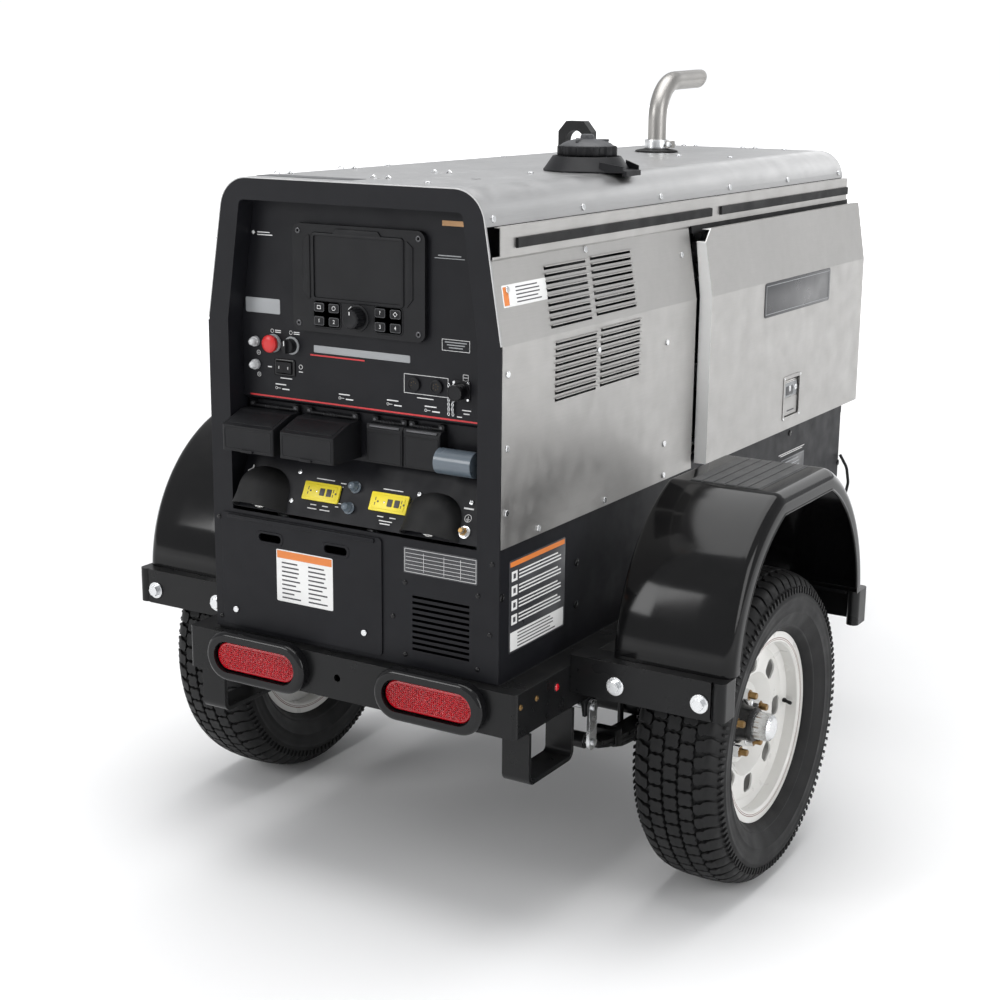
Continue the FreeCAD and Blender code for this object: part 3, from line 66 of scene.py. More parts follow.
# ---- materials ----------------------------------------------------------------------------------
class Look:
    """One node material, with short calls for the nodes used here."""

    def __init__(self, name):
        self.material = bpy.data.materials.new(name)
        self.material.use_nodes = True
        self.tree = self.material.node_tree
        self.shader = self.tree.nodes["Principled BSDF"]
        self.place = self.add("ShaderNodeTexCoord").outputs["Object"]

    def add(self, kind, inputs=None, **settings):
        node = self.tree.nodes.new(kind)
        for name, value in settings.items():
            setattr(node, name, value)
        for name, value in (inputs or {}).items():
            self.feed(node.inputs[name], value)
        return node

    def feed(self, socket, value):
        if isinstance(value, bpy.types.NodeSocket):
            self.tree.links.new(value, socket)
        else:
            socket.default_value = value

    def math(self, operation, a, b=0.0, c=0.0):
        return self.add("ShaderNodeMath", {0: a, 1: b, 2: c}, operation=operation).outputs[0]

    def axes(self):
        """The point's X, Y and Z in the piece's own frame."""
        return self.add("ShaderNodeSeparateXYZ", {0: self.place}).outputs

    def noise(self, scale, detail=3.0, stretch=(1.0, 1.0, 1.0)):
        where = self.add("ShaderNodeVectorMath", {0: self.place, 1: stretch}, operation="MULTIPLY").outputs[0]
        return self.add("ShaderNodeTexNoise", {"Vector": where, "Scale": scale,
                                               "Detail": detail}).outputs["Fac"]

    def span(self, value, low, high, to_low=0.0, to_high=1.0):
        inputs = {"Value": value, "From Min": low, "From Max": high, "To Min": to_low, "To Max": to_high}
        return self.add("ShaderNodeMapRange", inputs).outputs["Result"]

    def mix(self, share, a, b):
        return self.add("ShaderNodeMix", {0: share, 6: a, 7: b}, data_type="RGBA").outputs[2]

    def set(self, **values):
        for name, value in values.items():
            self.feed(self.shader.inputs[name.replace("_", " ")], value)
        return self.material


def shade(color, factor):
    return tuple(min(1.0, c * factor) for c in color[:3]) + (1.0,)


def finish(name, color, rough, metal=0.0, mottle=0.12, grain=(500.0, 0.06), stretch=(1.0, 1.0, 1.0),
           worn=None, dust=0.0, edge=0.9, extra=None, **shader):
    """A finish with colour and roughness variation, surface grain, softened edges, wear and dust."""
    look = Look(name)
    patches = look.noise(7.0, 5.0)
    base = look.mix(look.span(patches, 0.3, 0.7), shade(color, 1 - mottle), shade(color, 1 + mottle))
    rounded = look.add("ShaderNodeBevel", {"Radius": edge * MM}, samples=4).outputs[0]
    fine = look.noise(grain[0], 3.0, stretch)
    roughness = look.span(look.noise(23.0, 6.0), 0.3, 0.7, rough * 0.86, min(1.0, rough * 1.16))
    if extra:
        base = extra(look, base)
    if worn:
        true = look.add("ShaderNodeNewGeometry").outputs["Normal"]
        facing = look.add("ShaderNodeVectorMath", {0: rounded, 1: true},
                          operation="DOT_PRODUCT").outputs["Value"]
        rim = look.span(facing, 0.985, 0.86)
        mask = look.math("MULTIPLY", rim, look.span(look.noise(60.0, 4.0), 0.42, 0.62))
        base = look.mix(mask, base, worn)
    if dust:
        up = look.add("ShaderNodeSeparateXYZ",
                      {0: look.add("ShaderNodeNewGeometry").outputs["Normal"]}).outputs[2]
        lies = look.math("MULTIPLY", look.span(up, 0.3, 1.0, 0.15, 1.0),
                         look.span(look.noise(35.0, 6.0), 0.35, 0.75))
        share = look.math("MULTIPLY", lies, dust)
        base = look.mix(share, base, (0.36, 0.34, 0.31, 1.0))
    bump = look.add("ShaderNodeBump", {"Strength": grain[1], "Distance": MM, "Height": fine,
                                       "Normal": rounded})
    look.set(Base_Color=base, Roughness=roughness, Metallic=metal, Normal=bump.outputs[0], **shader)
    return look.material


def sheet_steel(name, color, rough):
    """Satin stainless sheet, grained along Y, with faint handling marks."""
    def handled(look, base):
        streaks = look.span(look.noise(60.0, 6.0, (14.0, 0.35, 14.0)), 0.3, 0.7)
        base = look.mix(look.math("MULTIPLY", streaks, 0.16), base, shade(color, 0.72))
        smears = look.span(look.noise(3.1, 7.0, (1.0, 0.6, 1.0)), 0.5, 0.72)
        return look.mix(look.math("MULTIPLY", smears, 0.1), base, shade(color, 0.8))
    return finish(name, color, rough, metal=1.0, mottle=0.03, grain=(160.0, 0.05), stretch=(9.0, 0.2, 9.0),
                  extra=handled, edge=0.7)


def pinstriped(look, base):
    """Two thin brown lines near the wheel's edge."""
    x, y, z = look.axes()
    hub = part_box("rim_right")
    centre_y = (hub[0].y + hub[1].y) / 2
    centre_z = (hub[0].z + hub[1].z) / 2
    across = look.math("SUBTRACT", y, centre_y)
    above = look.math("SUBTRACT", z, centre_z)
    radius = look.math("SQRT", look.math("ADD", look.math("MULTIPLY", across, across),
                                         look.math("MULTIPLY", above, above)))
    outer = look.math("COMPARE", radius, 0.1715, 0.0008)
    inner = look.math("COMPARE", radius, 0.1683, 0.0006)
    line = look.math("MAXIMUM", outer, inner)
    return look.mix(line, base, (0.17, 0.07, 0.05, 1.0))


BLACK = (0.0065, 0.0067, 0.0072)
M = {
    "hood_steel": sheet_steel("hood_steel", (0.5, 0.5, 0.5), 0.36),
    "panel_steel": sheet_steel("panel_steel", (0.47, 0.462, 0.45), 0.46),
    # Lighter, half-metallic copy of the door steel for each door's front-facing fold: painted light.
    "painted_lit_steel": finish("painted_lit_steel", (0.84, 0.84, 0.83), 0.38, metal=0.3, mottle=0.05,
                           grain=(300.0, 0.05)),
    "pipe_steel": sheet_steel("pipe_steel", (0.36, 0.35, 0.335), 0.4),
    "satin_black": finish("satin_black", (0.0072, 0.0074, 0.0095), 0.46, grain=(900.0, 0.05),
                          worn=(0.03, 0.03, 0.03, 1), Specular_IOR_Level=0.2),
    "frame_black": finish("frame_black", BLACK, 0.3, grain=(260.0, 0.05), worn=(0.05, 0.05, 0.05, 1),
                          dust=0.02,
                          Specular_IOR_Level=0.24),
    "fender_black": finish("fender_black", (0.004, 0.004, 0.0043), 0.1, grain=(30.0, 0.02), dust=0.01,
                           edge=1.5,
                           Specular_IOR_Level=0.24),
    "moulded_black": finish("moulded_black", (0.0085, 0.0087, 0.01), 0.46, grain=(1500.0, 0.12),
                            Specular_IOR_Level=0.22),
    "step_grey": finish("step_grey", (0.036, 0.037, 0.038), 0.5, grain=(1200.0, 0.3), dust=0.05),
    "rubber": finish("rubber", (0.009, 0.0091, 0.0096), 0.6, grain=(1200.0, 0.16), dust=0.03,
                     Specular_IOR_Level=0.25),
    "tyre": finish("tyre", (0.0085, 0.0086, 0.009), 0.56, grain=(700.0, 0.16), dust=0.03, edge=0.8,
                   Specular_IOR_Level=0.26),
    "white_enamel": finish("white_enamel", (0.7, 0.692, 0.665), 0.3, mottle=0.03, grain=(300.0, 0.04),
                           dust=0.05,
                           extra=pinstriped, Coat_Weight=0.4),
    "zinc": finish("zinc", (0.72, 0.73, 0.74), 0.27, metal=1.0, mottle=0.1, grain=(400.0, 0.1)),
    "stainless": finish("stainless", (0.62, 0.61, 0.59), 0.24, metal=1.0, grain=(500.0, 0.08)),
    "brass": finish("brass", (0.3, 0.19, 0.08), 0.36, metal=1.0, mottle=0.2, grain=(500.0, 0.1)),
    "coupler_paint": finish("coupler_paint", (0.009, 0.009, 0.0095), 0.3, worn=(0.1, 0.095, 0.09, 1),
                            dust=0.03,
                            Specular_IOR_Level=0.3),
    "red_lens": finish("red_lens", (0.44, 0.002, 0.009), 0.14, mottle=0.2, grain=(200.0, 0.03),
                       Coat_Weight=0.25,
                       Coat_Roughness=0.08),
    "red_lens_dark": finish("red_lens_dark", (0.26, 0.003, 0.009), 0.12, mottle=0.2, grain=(200.0, 0.03),
                            Coat_Weight=0.25, Coat_Roughness=0.08),
    "clear_cap": finish("clear_cap", (0.74, 0.75, 0.76), 0.22, mottle=0.04, grain=(300.0, 0.05),
                        Transmission_Weight=0.3, Coat_Weight=0.4),
    "gloss_plastic": finish("gloss_plastic", (0.006, 0.006, 0.0066), 0.16, mottle=0.1, grain=(400.0, 0.03),
                            Specular_IOR_Level=0.3),
    "dark_screw": finish("dark_screw", (0.09, 0.09, 0.095), 0.35, metal=0.7, grain=(500.0, 0.08)),
    "grey_film": finish("grey_film", (0.3, 0.31, 0.32), 0.4, mottle=0.06, grain=(500.0, 0.05)),
    "dark_film": finish("dark_film", (0.035, 0.036, 0.04), 0.3, mottle=0.08, grain=(500.0, 0.04)),
    "dust_cap": finish("dust_cap", (0.1, 0.125, 0.15), 0.3, mottle=0.1, grain=(300.0, 0.05), Coat_Weight=0.3),
    "moulded_grey": finish("moulded_grey", (0.045, 0.046, 0.05), 0.5, grain=(1200.0, 0.12)),
    "hose": finish("hose", (0.02, 0.02, 0.022), 0.55, grain=(900.0, 0.2), dust=0.08),
    "copper": finish("copper", (0.55, 0.25, 0.14), 0.35, metal=1.0, mottle=0.15, grain=(500.0, 0.1)),
    "filter_white": finish("filter_white", (0.68, 0.68, 0.66), 0.35, mottle=0.05, grain=(400.0, 0.05)),
    "orange_plastic": finish("orange_plastic", (0.7, 0.22, 0.03), 0.4, mottle=0.06, grain=(600.0, 0.05)),
    "red_plastic": finish("red_plastic", (0.52, 0.015, 0.016), 0.33, mottle=0.06, grain=(900.0, 0.06)),
    "yellow_plastic": finish("yellow_plastic", (0.83, 0.68, 0.03), 0.38, mottle=0.05, grain=(900.0, 0.05)),
    "tank_plastic": finish("tank_plastic", (0.03, 0.03, 0.032), 0.5, grain=(300.0, 0.2)),
    "engine_iron": finish("engine_iron", (0.1, 0.105, 0.11), 0.5, metal=0.3, grain=(160.0, 0.5), dust=0.1),
    "machine_steel": finish("machine_steel", (0.36, 0.36, 0.37), 0.4, metal=0.9, mottle=0.2,
                            grain=(200.0, 0.2)),
    "cast_alloy": finish("cast_alloy", (0.55, 0.55, 0.56), 0.5, metal=0.8, mottle=0.12, grain=(180.0, 0.4)),
    "glass": finish("glass", (0.012, 0.0125, 0.014), 0.09, mottle=0.05, grain=(40.0, 0.01), Coat_Weight=0.5),
    "white_ink": finish("white_ink", (0.75, 0.75, 0.75), 0.5, mottle=0.04),
    "white_film": finish("white_film", (0.77, 0.77, 0.76), 0.42, mottle=0.03, grain=(300.0, 0.04)),
    "grey_ink": finish("grey_ink", (0.3, 0.31, 0.32), 0.5, mottle=0.08),
    "dark_ink": finish("dark_ink", (0.05, 0.05, 0.055), 0.5, mottle=0.08),
    "orange_ink": finish("orange_ink", (0.68, 0.2, 0.04), 0.45, mottle=0.06),
    "green_ink": finish("green_ink", (0.16, 0.36, 0.12), 0.45, mottle=0.08),
    "red_ink": finish("red_ink", (0.55, 0.025, 0.03), 0.42, mottle=0.05),
    "bronze_film": finish("bronze_film", (0.34, 0.2, 0.1), 0.4, metal=0.6, mottle=0.15),
}

NODE_LOOKS = {
    "hood_steel": ["hood"],
    "panel_steel": ["side_panels", "door_left", "door_right"],
    "satin_black": ["front_frame", "control_panel", "base_frame", "rear_panel", "battery_drawer"],
    "frame_black": ["trailer_frame", "fender_brackets", "axle_beam", "leaf_springs", "lifting_bail"],
    "fender_black": ["fenders"],
    "gloss_plastic": ["light_housings"],
    "moulded_black": ["display_module", "display_knob", "keypad", "outlet_cover_1", "outlet_cover_2",
                      "outlet_cover_3", "outlet_cover_4", "fuel_filler", "fuel_cap", "start_switch",
                      "rocker_switch",
                      "battery", "outlets", "inverter_module"],
    "rubber": ["stud_covers", "trailer_cable", "hinge_rails"],
    "tyre": ["tyre_left", "tyre_right"],
    "white_enamel": ["rim_left", "rim_right"],
    "zinc": ["spring_shackles", "safety_chains", "jack_body", "jack_leg", "screws", "coupler_latch",
             "breaker_upper",
             "breaker_lower"],
    "pipe_steel": ["exhaust_system"],
    "stainless": ["latch_left", "latch_right", "panel_fittings"],
    "coupler_paint": ["coupler", "jack_handle", "hub_left", "hub_right"],
    "red_lens": ["light_lenses"],
    "red_plastic": ["stop_button"],
    "tank_plastic": ["fuel_tank"],
    "engine_iron": ["engine"],
    "machine_steel": ["rotor_and_fan", "generator"],
    "cast_alloy": ["radiator"],
}


def dress_nodes():
    for look, names in NODE_LOOKS.items():
        for name in names:
            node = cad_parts[name]
            node.data.materials.clear()
            node.data.materials.append(M[look])


def paint_where(node, look, test):
    """Give another finish to the faces of a CAD node whose centre passes the test."""
    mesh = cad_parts[node].data
    mesh.materials.append(M[look])
    index = len(mesh.materials) - 1
    for face in mesh.polygons:
        if test(face.center, face.normal):
            face.material_index = index




# ---- geometry -----------------------------------------------------------------------------------
IDENTITY = Matrix.Identity(4)
FROM_MM = Matrix.Translation((0.0, FACE_Y, 0.0)) @ Matrix.Scale(MM, 4)


def plane_at(origin, right, up):
    """Local X runs along right, local Y along up, local Z out of the surface."""
    right, up = Vector(right).normalized(), Vector(up).normalized()
    return Matrix.Translation(origin) @ Matrix((right, up, right.cross(up))).transposed().to_4x4()


def on_face(x, y, z):
    return plane_at((x, y, z), (1, 0, 0), (0, 0, 1))


def on_side(side, x, y, z):
    return plane_at((side * x, y, z), (0, side, 0), (0, 0, 1))


def on_roof(x, y, z):
    return plane_at((x, y, z), (1, 0, 0), (0, 1, 0))


def arc(cx, cy, radius, start, end, steps=6):
    angles = [math.radians(start + (end - start) * i / steps) for i in range(steps + 1)]
    return [(cx + radius * math.cos(a), cy + radius * math.sin(a)) for a in angles]


def round_rect(width, height, radius, cx=0.0, cy=0.0, steps=5):
    x, y = width / 2 - radius, height / 2 - radius
    corners = ((x, y, 0), (-x, y, 90), (-x, -y, 180), (x, -y, 270))
    return [p for dx, dy, a in corners for p in arc(cx + dx, cy + dy, radius, a, a + 90, steps)]


def smooth_path(points, steps=8):
    """Points on a rounded curve through the given ones."""
    points = [Vector(p) for p in points]
    ends = [points[0] * 2 - points[1]] + points + [points[-1] * 2 - points[-2]]
    path = []
    for a, b, c, d in zip(ends, ends[1:], ends[2:], ends[3:]):
        for i in range(steps):
            t = i / steps
            path.append(0.5 * (2 * b + (c - a) * t + (2 * a - 5 * b + 4 * c - d) * t * t
                               + (3 * b - a - 3 * c + d) * t ** 3))
    return path + [points[-1]]


class Build:
    """Collects one piece's geometry in millimetres from the control face."""

    def __init__(self, name):
        self.name = name
        self.mesh = bmesh.new()
        self.looks = []

    def index(self, look):
        if look not in self.looks:
            self.looks.append(look)
        return self.looks.index(look)

    def absorb(self, part, place, look):
        bmesh.ops.recalc_face_normals(part, faces=part.faces)
        bmesh.ops.transform(part, matrix=place, verts=part.verts)
        index = self.index(look)
        for face in part.faces:
            face.material_index = index
        data = bpy.data.meshes.new("part")
        part.to_mesh(data)
        part.free()
        self.mesh.from_mesh(data)
        bpy.data.meshes.remove(data)

    def prism(self, outline, low, high, look, place=IDENTITY, bevel=0.0, steps=2):
        """Outline in the local plane, from low to high, with its upper edge softened."""
        part = bmesh.new()
        face = part.faces.new([part.verts.new((x, y, low)) for x, y in outline])
        made = bmesh.ops.extrude_face_region(part, geom=[face])["geom"]
        top = [v for v in made if isinstance(v, bmesh.types.BMVert)]
        bmesh.ops.translate(part, vec=(0, 0, high - low), verts=top)
        if bevel:
            reach = (low + high) / 2
            side = 1 if high > low else -1
            rim = [e for e in part.edges if all(side * (v.co.z - reach) > 0 for v in e.verts)]
            bmesh.ops.bevel(part, geom=rim, offset=bevel, segments=steps, profile=0.5, affect="EDGES")
        self.absorb(part, place, look)

    def block(self, width, height, low, high, look, place=IDENTITY, bevel=0.0, radius=0.0):
        if radius:
            outline = round_rect(width, height, radius)
        else:
            x, y = width / 2, height / 2
            outline = [(x, -y), (x, y), (-x, y), (-x, -y)]
        self.prism(outline, low, high, look, place, bevel)

    def rings(self, rings, look, place=IDENTITY, closed=True):
        """Skin over rings of points; a ring of one point closes the end."""
        part = bmesh.new()
        looped = rings[0] is rings[-1]
        rows = [[part.verts.new(p) for p in ring] for ring in (rings[:-1] if looped else rings)]
        if looped:
            rows.append(rows[0])
        for a, b in zip(rows, rows[1:]):
            count = max(len(a), len(b))
            for k in range(count if closed else count - 1):
                n = (k + 1) % count
                corners = [a[k % len(a)], a[n % len(a)], b[n % len(b)], b[k % len(b)]]
                part.faces.new([v for i, v in enumerate(corners) if v not in corners[:i]])
        if closed and not looped:
            if len(rows[0]) > 2:
                part.faces.new(list(reversed(rows[0])))
            if len(rows[-1]) > 2:
                part.faces.new(rows[-1])
        self.absorb(part, place, look)

    def lathe(self, profile, look, place=IDENTITY, steps=40, flutes=0, depth=0.0):
        """Profile of (radius, height) turned about local Z; flutes notch the rim."""
        rings = []
        for radius, height in profile:
            if radius < 1e-6:
                rings.append([(0, 0, height)])
                continue
            ring = []
            for k in range(steps):
                angle = 2 * math.pi * k / steps
                notch = 0.5 + 0.5 * max(-1.0, min(1.0, 2.2 * math.cos(flutes * angle)))
                r = radius * (1 - depth * notch)
                ring.append((r * math.cos(angle), r * math.sin(angle), height))
            rings.append(ring)
        if profile[0] == profile[-1]:
            rings[-1] = rings[0]
        self.rings(rings, look, place)

    def hex(self, radius, low, high, look, place=IDENTITY):
        outline = arc(0, 0, radius, 0, 300, 5)
        self.prism(outline, low, high, look, place, bevel=radius * 0.12)

    def pipe(self, path, radius, look, steps=12, closed=False):
        """Round bar along a path of points."""
        path = [Vector(p) for p in path]
        rings = []
        side = None
        for i, point in enumerate(path):
            before = path[i - 1] if i or closed else point
            after = path[(i + 1) % len(path)] if i + 1 < len(path) or closed else point
            ahead = (after - before).normalized()
            if side is None:
                side = ahead.orthogonal().normalized()
            side = (side - ahead * side.dot(ahead)).normalized()
            other = ahead.cross(side)
            size = radius(i / (len(path) - 1)) if callable(radius) else radius
            rings.append([point + side * size * math.cos(a) + other * size * math.sin(a)
                          for a in (2 * math.pi * k / steps for k in range(steps))])
        self.rings(rings, look)

    def done(self, body, replaces=(), smooth=35.0):
        bmesh.ops.transform(self.mesh, matrix=FROM_MM, verts=self.mesh.verts)
        data = bpy.data.meshes.new(self.name)
        self.mesh.to_mesh(data)
        self.mesh.free()
        for look in self.looks:
            data.materials.append(M[look])
        for face in data.polygons:
            face.use_smooth = True
        data.set_sharp_from_angle(angle=math.radians(smooth))
        piece = bpy.data.objects.new(self.name, data)
        bpy.context.scene.collection.objects.link(piece)
        if body:
            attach(piece, body)
        if replaces:
            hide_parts(*replaces)
        return piece


def blend_line(profile, value):
    """Height of a line through (place, height) points."""
    for (x0, y0), (x1, y1) in zip(profile, profile[1:]):
        if value <= x1:
            return y0 + (y1 - y0) * (value - x0) / (x1 - x0)
    return profile[-1][1]


# ---- wheels -------------------------------------------------------------------------------------
WHEEL_X, AXLE_Y, AXLE_Z = 538.0, 513.6, 303.0
TREAD_PITCHES = 62
CROWN = ((0, 303.0), (24, 302.4), (45, 300.4), (60, 297.0), (69, 292.5), (76, 286.0), (81, 277.0),
         (84.5, 266.0))
GROOVE = ((0, 8.0), (45, 8.0), (60, 7.5), (69, 6.5), (76, 5.0), (81, 3.2), (84.5, 0.8))


def tread_point(x, along, depth=0.0):
    """Point on the tread at a place across it and a distance round it, sunk by depth."""
    radius = blend_line(CROWN, abs(x)) - depth
    angle = along / CROWN[0][1]
    return (x, radius * math.cos(angle), radius * math.sin(angle))


def clover_block(build, x, along, place):
    """Four-lobed tread block with a soft upper edge."""
    ring = []
    for i in range(24):
        a = 2 * math.pi * i / 24 + 0.13
        size = 13.6 / (abs(math.cos(a)) ** 4 + abs(math.sin(a)) ** 4) ** 0.25
        size *= 1 - 0.2 * abs(math.cos(2 * a)) ** 7
        ring.append((size * math.cos(a), size * 1.03 * math.sin(a)))
    rings = []
    for grow, depth in ((1.03, 8.6), (1.0, 0.9), (0.93, 0.0)):
        rings.append([tread_point(x + grow * dx, along + grow * dy, depth) for dx, dy in ring])
    build.rings(rings, "tyre", place)


def shoulder_block(build, side, along, place):
    """Tread block that wraps from the crown over the shoulder."""
    across = (45.0, 47.5, 52.0, 57.5, 62.5, 68.0, 73.0, 77.5, 81.0, 84.0)
    half = (6.5, 9.8, 12.0, 10.2, 12.6, 12.9, 12.6, 12.2, 11.8, 11.0)
    rings = []
    for i, (x, h) in enumerate(zip(across, half)):
        sway = 2.6 * math.sin(i * 0.95)
        deep = blend_line(GROOVE, x) + 0.8
        rings.append([tread_point(side * x, along + sway + h * 1.03, deep),
                      tread_point(side * x, along + sway + h, 0.8),
                      tread_point(side * x, along + sway + h - 0.9, 0.0),
                      tread_point(side * x, along + sway - h + 0.9, 0.0),
                      tread_point(side * x, along + sway - h, 0.8),
                      tread_point(side * x, along + sway - h * 1.03, deep)])
    build.rings(rings, "tyre", place)


def tyre(side, node):
    """Carcass with ribbed sidewalls and five rows of tread blocks."""
    build = Build(node + "_body")
    place = Matrix.Translation((side * WHEEL_X, AXLE_Y, AXLE_Z))
    turn = place @ Matrix.Rotation(math.pi / 2, 4, "Y")
    base = [(blend_line(CROWN, x) - blend_line(GROOVE, x), x) for x in (0, 20, 40, 55, 65, 72, 77, 81, 84.5)]
    wall = [(262, 86.2), (258, 87.4), (256.5, 88.4), (253, 88.5), (251.5, 87.6), (246, 87.8), (238, 87.0),
            (231, 85.6),
            (229.5, 86.2), (226, 86.0), (224.5, 84.8), (214, 80.5), (206, 76.2), (200, 72.6), (198.5, 72.8),
            (196, 71.6),
            (194.5, 69.6), (190, 64.0), (186.5, 58.5), (185, 54.0), (166, 51.5)]
    half = base + wall
    section = [(r, -x) for r, x in reversed(half)] + half[1:]
    rings = [[(r * math.cos(a), r * math.sin(a), x) for a in (2 * math.pi * k / 144 for k in range(144))]
             for r, x in section]
    build.rings(rings + [rings[0]], "tyre", turn)
    pitch = 2 * math.pi * CROWN[0][1] / TREAD_PITCHES
    for k in range(TREAD_PITCHES):
        along = k * pitch
        for row in (-1, 0, 1):
            clover_block(build, row * 29.5, along + (pitch / 2 if row else 0), place)
        for edge in (-1, 1):
            shoulder_block(build, edge, along, place)
            for step in (-0.25, 0.25):
                rib = place @ Matrix.Rotation((along + step * pitch) / CROWN[0][1], 4, "X")
                lug = [(edge * x, r, 0) for x, r in ((84.0, 276), (87.2, 274), (88.6, 263), (85.2, 261))]
                rings = [[(x, r, t) for x, r, _ in lug] for t in (-2.6, 2.6)]
                build.rings(rings, "tyre", rib)
    return build.done("wheel_right" if side > 0 else "wheel_left", (node,))


# ---- fenders ------------------------------------------------------------------------------------
FENDER_IN, FENDER_OUT, FENDER_TOP, FENDER_LOW = 430.0, 657.0, 790.0, 504.8
FENDER_Z, FENDER_RADIUS = 490.0, 323.6


def inset_line(points, gap):
    """The same bent line moved to its inner side by a gap."""
    moved = []
    for i, (x, d) in enumerate(points):
        x0, d0 = points[max(i - 1, 0)]
        x1, d1 = points[min(i + 1, len(points) - 1)]
        length = math.hypot(x1 - x0, d1 - d0)
        moved.append((x - gap * (d1 - d0) / length, d + gap * (x1 - x0) / length))
    return moved


def fender(side):
    """Half-round shell with a flat crown, a rolled shoulder, an outer skirt and a stiffened inner edge."""
    build = Build("fender_shell_right" if side > 0 else "fender_shell_left")
    shoulder = [(FENDER_OUT - 24 + 24 * math.sin(a), 24 - 24 * math.cos(a)) for a in
                (math.pi / 2 * i / 8 for i in range(9))]
    inner = [(FENDER_IN + 9 - 9 * math.sin(a),
              9 - 9 * math.cos(a)) for a in (math.pi / 2 * i / 4 for i in range(5))]
    outside = [(FENDER_IN, 17)] + inner[::-1] + [(500, 0), (580, 0)] + shoulder + [(FENDER_OUT, 32),
        (FENDER_OUT, 38)]
    section = outside + inset_line(outside, 2.6)[::-1]
    rings = []
    steps = 112
    foot = math.asin((FENDER_LOW - FENDER_Z) / FENDER_RADIUS)
    for i in range(steps + 1):
        angle = math.pi - foot - (math.pi - 2 * foot) * i / steps
        ring = []
        for x, depth in section:
            reach = FENDER_RADIUS - depth
            height = min(FENDER_Z + reach * math.sin(angle), FENDER_TOP - depth)
            ring.append((side * x, AXLE_Y + reach * math.cos(angle), max(height, FENDER_LOW)))
        rings.append(ring)
    build.rings(rings, "fender_black")
    rim = [(side * (FENDER_OUT - 1.6), ring[len(outside) - 1][1],
            ring[len(outside) - 1][2]) for ring in rings[2:-2]]
    build.pipe(rim, 2.6, "fender_black", steps=8)
    return build.done("chassis", ("fenders",) if side > 0 else (), smooth=50)


def step_pad(side):
    """Ribbed tread plate on the fender's flat crown."""
    build = Build("step_pad_right" if side > 0 else "step_pad_left")
    x0, x1, y0, y1 = 470.0, 606.0, 402.0, 2 * AXLE_Y - 404.0
    strips = 6
    width = (x1 - x0) / strips
    for i in range(strips):
        centre = side * (x0 + width * (i + 0.5))
        build.block(width - 2.6, y1 - y0, FENDER_TOP - 0.1, FENDER_TOP + 2.4, "step_grey",
                    on_roof(centre, (y0 + y1) / 2, 0), bevel=0.8)
    build.block(x1 - x0 + 3, y1 - y0 + 2, FENDER_TOP - 0.2, FENDER_TOP + 0.8, "step_grey",
                on_roof(side * (x0 + x1) / 2, (y0 + y1) / 2, 0), bevel=0.3)
    return build.done("chassis")


# ---- springs ------------------------------------------------------------------------------------
def leaf_spring_half(side, end):
    """One half of a three-leaf spring, from the axle seat to an eye."""
    build = Build("leaf_spring_%s_%s" % ("right" if side > 0 else "left", "front" if end < 0 else "rear"))
    centre, low, eye, half, leaf = side * 334.0, 272.5, 318.0, 22.5, 8.0
    span = 278.6
    rise = eye - 7 - low
    bend = (span ** 2 + rise ** 2) / (2 * rise)
    for number, reach in enumerate((span - 12, 215.0, 150.0)):
        rings = []
        for i in range(25):
            along = reach * i / 24
            top = low + bend - math.sqrt((bend + leaf * number) ** 2 - along ** 2)
            taper = 1.0 if number == 0 or i < 22 else 1.0 - 0.12 * (i - 21)
            w = half * taper
            y = AXLE_Y + end * along
            rings.append([(centre - w, y, top - leaf + 0.5), (centre + w, y, top - leaf + 0.5),
                          (centre + w + 0.4, y, top - leaf / 2), (centre + w, y, top - 0.5),
                          (centre - w, y, top - 0.5), (centre - w - 0.4, y, top - leaf / 2)])
        build.rings(rings, "frame_black")
    eye_place = Matrix.Translation((centre - half, AXLE_Y + end * span, eye)) @ Matrix.Rotation(math.pi / 2,
        4, "Y")
    build.lathe([(15, 0), (15, 2 * half), (9, 2 * half), (9, 0), (15, 0)], "frame_black", eye_place, steps=28)
    clip_y = AXLE_Y + end * 150
    build.block(2 * half + 7, 22, eye - 52, eye - 20.5, "frame_black", on_roof(centre, clip_y, 0), bevel=1.5,
                radius=3)
    piece = build.done(None, ("leaf_springs",) if side > 0 and end > 0 else ())
    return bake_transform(piece)


# ---- lamps on the bumper ------------------------------------------------------------------------
def tail_lens(side):
    """Red lens moulded with rows of small prisms over the lamp's reflectors."""
    name = "tail_lens_right" if side > 0 else "tail_lens_left"
    build = Build(name)
    length, height, pitch = 180.0, 54.0, 4.0
    centre_x, centre_z = side * 190.0, 445.0
    face = on_face(centre_x, -27.4, centre_z)
    outline = round_rect(length, height, height / 2 - 0.01, steps=12)
    build.prism(outline, 0.0, 10.5, "red_lens", face, bevel=3.0, steps=3)
    for row in range(-6, 7):
        for column in range(-22, 23):
            x, z = column * pitch, row * pitch
            inside = max(0.0, abs(x) - (length - height) / 2)
            if math.hypot(inside, z) > height / 2 - 5.2:
                continue
            top = 12.0 + 0.5 * math.cos(column * 2.1) * math.cos(row * 1.7)
            look = "red_lens_dark" if (column * 7 + row * 5) % 11 < 3 else "red_lens"
            square = ((-1, -1), (1, -1), (1, 1), (-1, 1))
            build.rings([[(x + 1.7 * a, z + 1.7 * b, 10.4) for a, b in square],
                         [(x + 0.9 * a, z + 0.9 * b, top) for a, b in square]], look, face)
    return build.done("chassis", ("light_lenses",) if side > 0 else ())


